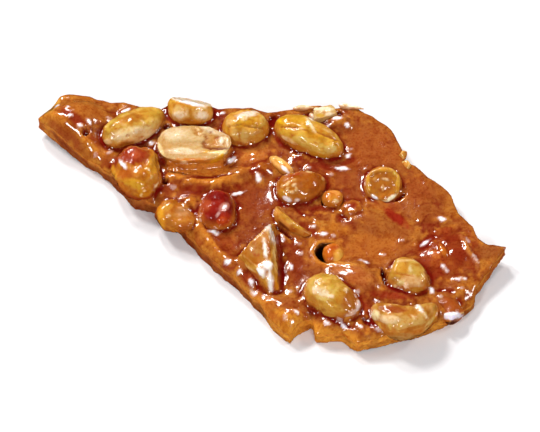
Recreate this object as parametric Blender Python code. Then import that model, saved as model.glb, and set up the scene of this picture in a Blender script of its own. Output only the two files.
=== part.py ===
"""A broken piece of peanut brittle: a poured sheet of set caramel with roasted kernels standing in it.

Metres, +Z up. The piece lies on the flat side that was poured on the slab. The origin is the centre of its
footprint, on that side, and +X runs along the piece towards its sharp tip. Each kernel that shows is a solid of
its own, and sits in a pocket of the sheet with a hair of clearance. Kernels that the caramel covers are swells in
the top of the sheet.
"""

import math

import bmesh
import bpy
from mathutils import Euler, Matrix, Vector, noise

MM = 0.001

# The sheet, in millimetres.
POUR = 4.4  # thickness where nothing lies under the skin
TIP_POUR = 2.9  # thickness where the sheet was pulled thin, out at the sharp tip
CELL = 2.8  # spacing of the cuts that let the sheet bend
WALL_LEVELS = (0.3, 0.62)  # heights of the broken side's rows, as shares of the thickness
WALL_ROUGHNESS = 0.55  # how far the broken side is eaten in
CHIP = 0.55  # how far the broken rim wanders between its corners
CHIP_SPACING = 1.7  # distance between the rim's small steps
WAVE = 0.45  # slow rise and fall of the poured surface
WAVE_LENGTH = 17.0
FILLET = 1.9  # how softly the caramel climbs onto a kernel
GAP = 0.3  # clearance between a kernel and its pocket

# The rim, corner by corner, anticlockwise from the sharp tip.
RIM = (
    (49.8, -8.2), (45.6, -7.2), (43.8, -5.4), (42.8, -2.2), (39.4, 3.0), (37.8, 7.0), (33.6, 10.5),
    (30.9, 13.5), (28.8, 14.4), (28.3, 17.5), (26.0, 23.0), (22.0, 26.5), (17.4, 29.2), (13.8, 28.6),
    (9.0, 29.6), (3.0, 28.2), (-0.5, 27.6), (-4.0, 29.0), (-11.0, 28.6), (-18.0, 30.6), (-21.5, 29.8),
    (-23.5, 28.4), (-27.0, 29.0), (-31.4, 30.6), (-34.2, 30.4), (-38.6, 31.8), (-42.2, 32.0), (-45.2, 31.0),
    (-46.9, 28.4), (-49.8, 25.3), (-46.5, 22.2), (-40.5, 16.9), (-36.5, 14.2), (-33.0, 10.2), (-28.8, 4.8),
    (-24.6, 3.8), (-21.6, 1.4), (-18.6, -2.4), (-12.0, -11.2), (-8.4, -14.6), (-4.4, -19.0), (1.6, -27.6),
    (4.2, -29.8), (6.2, -27.4), (8.8, -25.8), (9.4, -29.4), (15.2, -29.4), (18.0, -32.0), (24.0, -30.6),
    (31.0, -28.2), (37.4, -24.9), (41.2, -22.4), (42.8, -20.4), (43.2, -17.6), (48.6, -9.8),
)

# The corners that curled off the slab as the sheet was pulled: middle, reach and rise of each.
CURLS = (
    ((52.0, -7.0), 17.0, 2.2),
    ((-51.0, 29.0), 19.0, 2.0),
    ((24.0, -36.0), 11.0, 1.2),
    ((20.0, 33.0), 12.0, 0.9),
)

# Kernels that stand out of the caramel: name, place of the middle, length, width and height, then heading, pitch
# and roll in degrees, the form, and the height to which the caramel climbs round it.
KERNELS = (
    ("kernel_tan", (-29.0, 22.6, 5.3), (14.6, 8.4, 7.2), (32, -3, 0), "whole", 6.0),
    ("kernel_rim_half", (-17.0, 27.7, 5.4), (10.0, 7.6, 8.4), (-14, 0, -42), "half", 4.4),
    ("kernel_pale_half", (-16.2, 16.9, 7.3), (16.0, 9.3, 11.0), (-4, 2, 4), "half", 5.2),
    ("kernel_furrowed", (-5.2, 22.3, 5.2), (10.8, 8.2, 7.6), (15, 0, 10), "furrowed", 6.0),
    ("kernel_long", (8.4, 20.0, 5.3), (16.2, 8.0, 7.2), (-32, 0, -24), "furrowed", 6.0),
    ("kernel_red_skin", (-28.0, 10.8, 5.1), (12.6, 10.2, 8.2), (-74, 0, 0), "whole", 5.8),
    ("kernel_red_round", (-11.2, 0.9, 4.8), (10.0, 7.6, 7.4), (82, 0, 0), "whole", 5.2),
    ("kernel_overhang", (-19.9, -0.3, 4.2), (8.4, 6.6, 5.8), (-41, 0, 0), "whole", 5.0),
    ("kernel_mid", (6.3, 6.9, 5.0), (10.8, 7.0, 6.6), (18, 0, 0), "whole", 6.2),
    ("kernel_crescent", (5.2, -0.6, 4.9), (10.4, 6.6, 6.6), (-44, -3, -52), "half", 4.8),
    ("kernel_shard", (-0.5, -11.6, 5.1), (16.4, 13.4, 8.2), (-85, -9, 0), "shard", 4.6),
    ("kernel_upright", (23.9, 7.9, 4.6), (7.0, 7.8, 7.8), (20, 90, 0), "whole", 5.0),
    ("kernel_cream", (12.9, -21.6, 5.1), (13.4, 7.8, 7.6), (-36, 3, 0), "whole", 5.6),
    ("kernel_block", (28.7, -15.5, 4.9), (11.0, 8.0, 7.2), (0, 0, 0), "block", 5.4),
    ("kernel_bean", (27.8, -26.8, 4.9), (14.0, 7.8, 7.6), (2, 0, 0), "bean", 5.2),
    ("kernel_rim_chunk", (12.4, 27.0, 4.2), (5.6, 6.0, 5.0), (100, 0, 0), "broken_up", 5.0),
    ("kernel_rim_broken", (37.0, -22.3, 2.5), (8.6, 5.2, 3.4), (-56, 0, 0), "broken_off", 5.6),
)

# Kernels and lumps under the skin: middle, length, width and top, then heading.
SWELLS = (
    ((-40.9, 24.8), 13.0, 9.6, 7.6, 12),
    ((18.4, -16.0), 12.0, 7.4, 6.5, -30),
    ((4.8, -26.0), 8.4, 5.8, 6.2, -24),
    ((37.6, -9.6), 11.0, 8.4, 5.4, 24),
    ((20.8, -0.8), 11.0, 8.0, 5.6, -35),
    ((-1.8, 11.8), 6.0, 5.2, 5.9, 35),
    ((-6.4, -13.6), 9.6, 4.8, 5.8, -46),
    ((14.8, 24.4), 6.0, 4.4, 5.8, 0),
    ((-16.9, 2.8), 5.6, 4.6, 6.3, 0),
    ((39.4, -18.8), 7.0, 5.0, 4.9, 40),
    ((31.6, 2.6), 8.0, 5.6, 4.9, -50),
    ((-38.6, 19.6), 6.4, 4.6, 5.7, -40),
)

# Folds where the cooling sheet was pulled: both ends, width and rise.
FOLDS = (
    ((-20.6, 9.6), (-12.0, 7.6), 2.4, 1.3),
    ((-12.0, 7.6), (-5.6, 11.0), 2.4, 1.5),
    ((-16.6, -1.6), (-10.4, -10.8), 2.4, 1.2),
    ((-3.0, -22.0), (7.6, -22.4), 2.6, 0.8),
    ((-47.0, 25.0), (-36.0, 15.6), 2.4, 0.8),
    ((24.6, -31.0), (40.6, -22.6), 2.6, 0.6),
)

BLISTER = (12.0, -9.4, 4.4)  # middle of the burst bubble
BLISTER_SIZE = (5.8, 5.4, 6.6)

# Where a kernel of each form is split or broken, in millimetres from its middle, and which way the break faces.
BREAKS = {
    "half": (((0, 0, 0), (0, 0, 1)),),
    "shard": (((0, 1.4, 0), (0, 1, 0.12)),),
    "block": (((4.4, 0, 0), (1, 0.25, 0.2)), ((-4.2, 0, 0), (-1, 0.2, 0.3))),
    "broken_up": (((1.0, 0, 0), (0.75, 0, 0.65)),),
    "broken_off": (((3.2, 0, 0), (1, 0.1, 0.1)),),
}
BEAN_BEND = 1.9
FURROW = 0.5

CARAMEL = (0.46, 0.135, 0.021, 1.0)
CARAMEL_ROUGHNESS = 0.22
KERNEL_COLOURS = {
    "whole": (0.62, 0.30, 0.055, 1.0),
    "furrowed": (0.62, 0.30, 0.055, 1.0),
    "half": (0.76, 0.50, 0.22, 1.0),
    "shard": (0.66, 0.36, 0.10, 1.0),
    "block": (0.62, 0.33, 0.075, 1.0),
    "bean": (0.60, 0.29, 0.065, 1.0),
    "broken_up": (0.78, 0.56, 0.28, 1.0),
    "broken_off": (0.80, 0.62, 0.40, 1.0),
}
KERNEL_ROUGHNESS = 0.35
SHARP_EDGE = 42  # degrees between faces from which an edge is drawn sharp
RINGS = 8
SIDES = 12


def smooth_step(low, high, value):
    share = min(max((value - low) / (high - low), 0.0), 1.0)
    return share * share * (3.0 - 2.0 * share)


def smooth_max(first, second, reach):
    overlap = max(reach - abs(first - second), 0.0)
    return max(first, second) + overlap * overlap / (4.0 * reach)


def chipped_rim():
    """The rim with small steps between its corners. The corners themselves keep their places."""
    points = []
    for here, after in zip(RIM, RIM[1:] + RIM[:1]):
        start, end = Vector(here), Vector(after)
        run = end - start
        inward = Vector((-run.y, run.x)).normalized()
        steps = max(1, round(run.length / CHIP_SPACING))
        points.append(start)
        for step in range(1, steps):
            point = start + run * (step / steps)
            bite = 0.5 + 0.5 * noise.noise((point.x * 0.9, point.y * 0.9, 3.0))
            points.append(point + inward * (CHIP * bite))
    return points


def curl(x, y):
    """How far the sheet has lifted off the slab."""
    return sum(rise * (1.0 - smooth_step(0.0, reach, math.dist((x, y), middle))) for middle, reach, rise in CURLS)


def dome(x, y, middle, length, width, heading, low, top):
    """Height of an ellipsoid over a point, falling away to well below the sheet outside it."""
    turn = math.radians(heading)
    across_x, across_y = x - middle[0], y - middle[1]
    along = (across_x * math.cos(turn) + across_y * math.sin(turn)) / (length / 2.0)
    aside = (across_y * math.cos(turn) - across_x * math.sin(turn)) / (width / 2.0)
    reach = along * along + aside * aside
    if reach >= 1.0:
        return low - 4.0 * (reach - 1.0)
    return low + (top - low) * math.sqrt(1.0 - reach)


def fold_rise(x, y, start, end, width, rise):
    run = Vector(end) - Vector(start)
    share = min(max((Vector((x, y)) - Vector(start)).dot(run) / run.length_squared, 0.0), 1.0)
    distance = (Vector((x, y)) - (Vector(start) + run * share)).length
    return rise * (1.0 - smooth_step(0.0, width, distance))


def thickness(x, y):
    """Thickness of the sheet over a point of the slab."""
    wave = WAVE * noise.noise((x / WAVE_LENGTH, y / WAVE_LENGTH, 7.0))
    top = POUR + (TIP_POUR - POUR) * smooth_step(26.0, 50.0, x) + wave
    top += max(fold_rise(x, y, *fold) for fold in FOLDS)
    for middle, length, width, height, heading in SWELLS:
        top = smooth_max(top, dome(x, y, middle, length, width, heading, 2.0, height), FILLET)
    for _, place, size, turn, _, climb in KERNELS:
        length = size[0] if abs(turn[1]) < 45 else size[2]
        collar = dome(x, y, place[:2], length * 1.12, size[1] * 1.12, turn[0], 2.0, climb)
        top = smooth_max(top, collar, FILLET)
    return top


def link(name, mesh, colour, roughness):
    material = bpy.data.materials.new(name)
    material.use_nodes = True
    finish = material.node_tree.nodes["Principled BSDF"]
    finish.inputs["Base Color"].default_value = colour
    finish.inputs["Roughness"].default_value = roughness
    mesh.materials.append(material)
    obj = bpy.data.objects.new(name, mesh)
    bpy.context.scene.collection.objects.link(obj)
    return obj


def caramel_sheet():
    """The rim filled, raised to one millimetre, cut into cells, then given its thickness and its curls."""
    bm = bmesh.new()
    face = bm.faces.new([bm.verts.new((p.x, p.y, 0.0)) for p in chipped_rim()])
    raised = bmesh.ops.extrude_face_region(bm, geom=[face])["geom"]
    bmesh.ops.translate(bm, verts=[v for v in raised if isinstance(v, bmesh.types.BMVert)], vec=(0, 0, 1))
    cuts = [(Vector((0, 0, level)), Vector((0, 0, 1))) for level in WALL_LEVELS]
    for axis, half in ((0, 50.0), (1, 33.0)):
        count = round(2 * half / CELL)
        for step in range(1, count):
            place, normal = Vector((0, 0, 0)), Vector((0, 0, 0))
            place[axis] = -half + 2 * half * step / count
            normal[axis] = 1
            cuts.append((place, normal))
    for place, normal in cuts:
        everything = bm.verts[:] + bm.edges[:] + bm.faces[:]
        bmesh.ops.bisect_plane(bm, geom=everything, dist=1e-5, plane_co=place, plane_no=normal)
    bmesh.ops.remove_doubles(bm, verts=bm.verts, dist=0.02)
    bmesh.ops.recalc_face_normals(bm, faces=bm.faces)
    bm.normal_update()
    bites = {}
    for vert in bm.verts:
        if 0.01 < vert.co.z < 0.99:
            x, y, z = vert.co
            bite = 0.5 + 0.5 * noise.noise((x * 0.4, y * 0.4, z * 5.0))
            bites[vert] = -vert.normal * (WALL_ROUGHNESS * bite)
    for vert in bm.verts:
        x, y, share = vert.co
        vert.co.z = share * thickness(x, y) + curl(x, y)
        vert.co += bites.get(vert, Vector((0, 0, 0)))
    resting = [face for face in bm.faces if all(vert.co.z < 0.001 for vert in face.verts)]
    inner = {edge for face in resting for edge in face.edges if all(f in resting for f in edge.link_faces)}
    bmesh.ops.dissolve_limit(bm, angle_limit=0.01, edges=list(inner), verts=[])
    bmesh.ops.triangulate(bm, faces=bm.faces)
    bmesh.ops.scale(bm, verts=bm.verts, vec=(MM, MM, MM))
    mesh = bpy.data.meshes.new("caramel_sheet")
    bm.to_mesh(mesh)
    bm.free()
    mesh.shade_smooth()
    mesh.set_sharp_from_angle(angle=math.radians(SHARP_EDGE))
    return link("caramel_sheet", mesh, CARAMEL, CARAMEL_ROUGHNESS)


def slice_off(bm, place, normal):
    """Takes away what lies beyond a plane and closes the cut with one flat face."""
    everything = bm.verts[:] + bm.edges[:] + bm.faces[:]
    cut = bmesh.ops.bisect_plane(
        bm, geom=everything, dist=1e-5, plane_co=place, plane_no=normal, clear_outer=True
    )["geom_cut"]
    bmesh.ops.contextual_create(bm, geom=[e for e in cut if isinstance(e, bmesh.types.BMEdge)])


def kernel_mesh(name, size, form, grow):
    """A peanut kernel along X, its rings square to it: fuller at one end, and split or broken as its form says."""
    length, width, height = (side + 2.0 * grow for side in size)
    bm = bmesh.new()
    bmesh.ops.create_uvsphere(bm, u_segments=SIDES, v_segments=RINGS, radius=1.0)
    bmesh.ops.rotate(bm, verts=bm.verts, matrix=Matrix.Rotation(math.radians(90), 3, "Y"))
    for vert in bm.verts:
        along = min(max(vert.co.x, -1.0), 1.0)
        ring = math.sqrt(max(1.0 - along * along, 1e-9))
        full = math.sqrt(1.0 - abs(along) ** 2.6) / ring if ring > 0.01 else 1.0
        full *= 1.0 - 0.10 * along
        vert.co = Vector((along * length / 2, vert.co.y * full * width / 2, vert.co.z * full * height / 2))
        reach = (vert.co.x / (size[0] / 2)) ** 2
        if form == "bean":
            vert.co.y += BEAN_BEND * (reach - 0.4)
        if form == "furrowed" and abs(vert.co.y) < 0.1 and vert.co.z > 0:
            vert.co.z -= FURROW * (1.0 - min(reach, 1.0))
    for place, normal in BREAKS.get(form, ()):
        outward = Vector(normal).normalized()
        slice_off(bm, Vector(place) + outward * grow, outward)
    bmesh.ops.recalc_face_normals(bm, faces=bm.faces)
    bmesh.ops.triangulate(bm, faces=bm.faces)
    bmesh.ops.scale(bm, verts=bm.verts, vec=(MM, MM, MM))
    mesh = bpy.data.meshes.new(name)
    bm.to_mesh(mesh)
    bm.free()
    mesh.shade_smooth()
    mesh.set_sharp_from_angle(angle=math.radians(SHARP_EDGE))
    return mesh


def set_in_place(obj, place, turn):
    """Lays a kernel at its place in the sheet, lifted with the corner that it stands in."""
    x, y, z = place
    heading, pitch, roll = (math.radians(angle) for angle in turn)
    obj.location = Vector((x, y, z + curl(x, y))) * MM
    obj.rotation_euler = Euler((roll, -pitch, heading), "XYZ")


def cut_from(sheet, cutter):
    cutter.hide_render = True
    cutter.display_type = "WIRE"
    cut = sheet.modifiers.new(cutter.name, "BOOLEAN")
    cut.object = cutter
    cut.operation = "DIFFERENCE"


def blister_cutter():
    bm = bmesh.new()
    bmesh.ops.create_uvsphere(bm, u_segments=SIDES, v_segments=RINGS, radius=0.5)
    bmesh.ops.scale(bm, verts=bm.verts, vec=Vector(BLISTER_SIZE) * MM)
    mesh = bpy.data.meshes.new("blister_cutter")
    bm.to_mesh(mesh)
    bm.free()
    cutter = link("blister_cutter", mesh, CARAMEL, CARAMEL_ROUGHNESS)
    cutter.location = Vector(BLISTER) * MM
    return cutter


def main():
    for obj in list(bpy.data.objects):
        bpy.data.objects.remove(obj)
    sheet = caramel_sheet()
    for name, place, size, turn, form, _ in KERNELS:
        kernel = link(name, kernel_mesh(name, size, form, 0.0), KERNEL_COLOURS[form], KERNEL_ROUGHNESS)
        set_in_place(kernel, place, turn)
        pocket = link(
            name + "_pocket", kernel_mesh(name + "_pocket", size, form, GAP), CARAMEL, CARAMEL_ROUGHNESS
        )
        set_in_place(pocket, place, turn)
        cut_from(sheet, pocket)
    cut_from(sheet, blister_cutter())


main()
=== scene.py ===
import math

import bmesh
import bpy
import numpy as np
from mathutils import Euler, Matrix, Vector, noise
from mathutils.bvhtree import BVHTree


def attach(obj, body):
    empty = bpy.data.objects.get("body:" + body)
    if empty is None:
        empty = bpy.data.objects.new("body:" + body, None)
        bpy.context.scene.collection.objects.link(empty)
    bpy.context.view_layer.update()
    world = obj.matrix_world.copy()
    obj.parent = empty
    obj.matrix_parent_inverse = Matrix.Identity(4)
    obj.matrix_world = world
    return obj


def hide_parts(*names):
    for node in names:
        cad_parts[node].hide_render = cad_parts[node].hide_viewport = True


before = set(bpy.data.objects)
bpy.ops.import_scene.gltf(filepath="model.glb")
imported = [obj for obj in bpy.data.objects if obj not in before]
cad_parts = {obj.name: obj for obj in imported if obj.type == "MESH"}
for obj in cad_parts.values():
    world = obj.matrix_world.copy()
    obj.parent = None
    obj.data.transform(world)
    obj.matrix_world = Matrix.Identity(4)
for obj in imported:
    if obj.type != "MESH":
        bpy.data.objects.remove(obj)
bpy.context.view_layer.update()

# The kernels.
# Roasted peanut kernels, whole, split in two or broken, set while the sugar was soft. Each sits in caramel to
# about its middle, has a film of it low down, and shows its skin or its pale broken flesh above.

MM = 0.001

# Places where the corners of the sheet, and what sits on them, lift off the table: middle, reach and rise.
CURLS = (
    ((52.0, -7.0), 17.0, 2.2),
    ((-51.0, 29.0), 19.0, 2.0),
    ((24.0, -36.0), 11.0, 1.2),
    ((20.0, 33.0), 12.0, 0.9),
)

# Each kernel: place of the middle, length, width and height, heading, pitch and roll, form, and film height.
KERNELS = {
    "kernel_tan": ((-29.0, 22.8, 5.3), (14.6, 7.4, 6.8), (32, -3, 0), "whole", 5.4),
    "kernel_rim_half": ((-17.0, 27.2, 6.0), (9.6, 7.2, 8.0), (-14, 0, -47), "capped", 4.4),
    "kernel_pale_half": ((-16.2, 17.0, 7.6), (16.0, 9.2, 11.0), (-4, 2, -3), "half", 4.0),
    "kernel_furrowed": ((-5.2, 22.3, 5.2), (10.0, 8.2, 7.6), (15, 0, 10), "whole", 5.6),
    "kernel_long": ((8.4, 20.0, 5.3), (15.8, 8.0, 7.2), (-32, 0, -24), "whole", 5.6),
    "kernel_red_skin": ((-28.0, 10.8, 5.1), (12.6, 9.8, 8.2), (-74, 0, 0), "lumpy", 6.6),
    "kernel_red_round": ((-11.2, 0.9, 4.8), (10.0, 7.6, 7.4), (82, 0, 0), "dome", 5.8),
    "kernel_overhang": ((-19.9, -0.3, 4.2), (9.4, 6.4, 5.6), (-36, 0, 0), "lumpy", 6.2),
    "kernel_mid": ((6.3, 6.9, 5.0), (10.8, 7.0, 6.6), (18, 0, 0), "whole", 6.4),
    "kernel_crescent": ((5.4, -0.9, 4.7), (10.0, 6.4, 6.6), (-44, -3, -52), "half", 4.2),
    "kernel_shard": ((-0.5, -11.6, 5.1), (16.4, 13.4, 8.2), (-85, -9, 0), "shard", 6.2),
    "kernel_upright": ((23.9, 8.0, 4.5), (9.0, 8.0, 8.0), (-90, 54, 0), "stub", 4.6),
    "kernel_cream": ((12.9, -21.6, 5.0), (12.8, 8.2, 7.4), (-38, -9, 0), "whole", 6.4),
    "kernel_block": ((28.7, -15.5, 4.5), (11.0, 8.4, 7.0), (0, 0, 0), "block", 5.6),
    "kernel_bean": ((27.8, -26.6, 4.9), (14.0, 7.0, 7.6), (2, 0, 0), "bean", 5.2),
    "kernel_rim_chunk": ((11.7, 26.4, 4.4), (7.2, 6.6, 5.4), (12, 4, -14), "chunk", 4.0),
    "kernel_rim_broken": ((37.0, -22.6, 2.5), (8.6, 5.2, 3.2), (-56, 0, 0), "broken_off", -9.0),
}

# Where a kernel is broken: a place on the break and the way it faces.
BREAKS = {
    "shard": (
        ((0, 1.9, 0), (0, 1, 0.35)), ((-6.2, 0, 0), (-1, -0.9, 0.2)), ((-4.0, -3.2, 0), (-0.9, -1, 0.2)),
        ((2.6, -4.4, 0), (0.55, -0.85, 0.3)),
    ),
    "block": (
        ((4.3, 0, 0), (1, 0.25, 0.2)), ((-4.1, 0, 0), (-1, 0.3, 0.3)), ((0, 0, 2.7), (0.1, -0.1, 1)),
        ((2.8, 2.8, 0), (0.8, 1, 0.3)), ((-2.6, -3.0, 0), (-0.6, -1, 0.5)),
    ),
    "capped": (((0, 0, 1.7), (0, 0, 1)),),
    "chunk": (
        ((0, 0, 1.3), (0, 0, 1)), ((2.5, 0, 0), (1, 0.1, 0.1)), ((-2.3, 0, 0), (-1, 0.2, 0.1)),
        ((0, -1.8, 0), (0.1, -1, 0.1)), ((0, 1.9, 0), (0, 1, 0.1)),
    ),
    "stub": (((2.3, 0, 0), (1, 0, 0)),),
    "flake": (
        ((0.8, 0, 0), (0.9, 0.3, 0.3)), ((-0.9, 0.2, 0), (-1, 0.5, 0.3)), ((0, 0.4, 0), (0.2, 1, 0.4)),
    ),
    "broken_off": (((3.2, 0, 0), (1, 0.1, 0.1)),),
}
BEAN_BEND = 2.8
EGG_SHAPE = 0.10
FORM_LUMPS = {"dome": 0.8, "lumpy": 2.0}
FORM_EDGES = {"block": 1.9, "stub": 0.8, "capped": 0.8}
BREAK_EDGE_WIDTH = 0.35
FOOT = 0.5
FOOT_EDGE = 0.6


def tone(red, green, blue):
    """A colour as it looks, from 0 to 255, in the linear light that shaders use."""
    parts = np.array((red, green, blue)) / 255.0
    return np.where(parts <= 0.04045, parts / 12.92, ((parts + 0.055) / 1.055) ** 2.4)


AMBER = (194, 118, 40)
DEEP = (134, 26, 16)
RUST = (166, 62, 30)
CREAM = (236, 206, 156)
# Of the next two whites, the first is pale broken flesh and also a painted glint, the second a painted glint
# only.
WHITE_FLESH_AND_GLINT = (244, 232, 218)
PAINTED_GLINT = (252, 248, 252)
# A warm orange painted as shade on kernel flanks that turn away from above.
PAINTED_FLANK_SHADE = (198, 116, 34)
BREAK_EDGE = (246, 214, 144)

# Skin, toasted skin and broken flesh of each kernel, and how much of it the film of sugar hides.
NUT_TONES = {
    "tan": ((200, 165, 61), (189, 138, 47), CREAM, 0.1),
    "rim_half": ((215, 167, 55), (202, 141, 44), (232, 210, 178), 0.1),
    "pale_half": ((188, 114, 31), (175, 99, 26), (195, 165, 114), 0.0),
    "furrowed": ((206, 157, 51), (195, 131, 39), CREAM, 0.1),
    "long": ((207, 155, 41), (194, 135, 35), CREAM, 0.1),
    "red_skin": ((195, 130, 32), (180, 100, 24), CREAM, 0.1),
    "red_round": ((148, 32, 20), (130, 24, 16), CREAM, 0.0),
    "overhang": ((184, 121, 33), (171, 101, 27), CREAM, 0.1),
    "mid": ((165, 92, 17), (153, 76, 12), CREAM, 0.3),
    "crescent": ((210, 152, 56), (194, 122, 43), (183, 109, 45), 0.1),
    "shard": ((178, 114, 30), (164, 90, 22), (206, 150, 54), 0.1),
    "upright": ((195, 125, 36), (183, 112, 29), (183, 118, 34), 0.0),
    "cream": ((195, 156, 56), (189, 138, 47), CREAM, 0.1),
    "block": ((191, 144, 54), (184, 131, 46), (194, 152, 65), 0.0),
    "bean": ((191, 143, 61), (179, 116, 40), CREAM, 0.1),
    "rim_chunk": ((196, 160, 92), (184, 140, 70), (200, 166, 104), 0.0),
    "rim_broken": ((184, 104, 34), (168, 84, 28), (150, 92, 66), 0.0),
}

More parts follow.
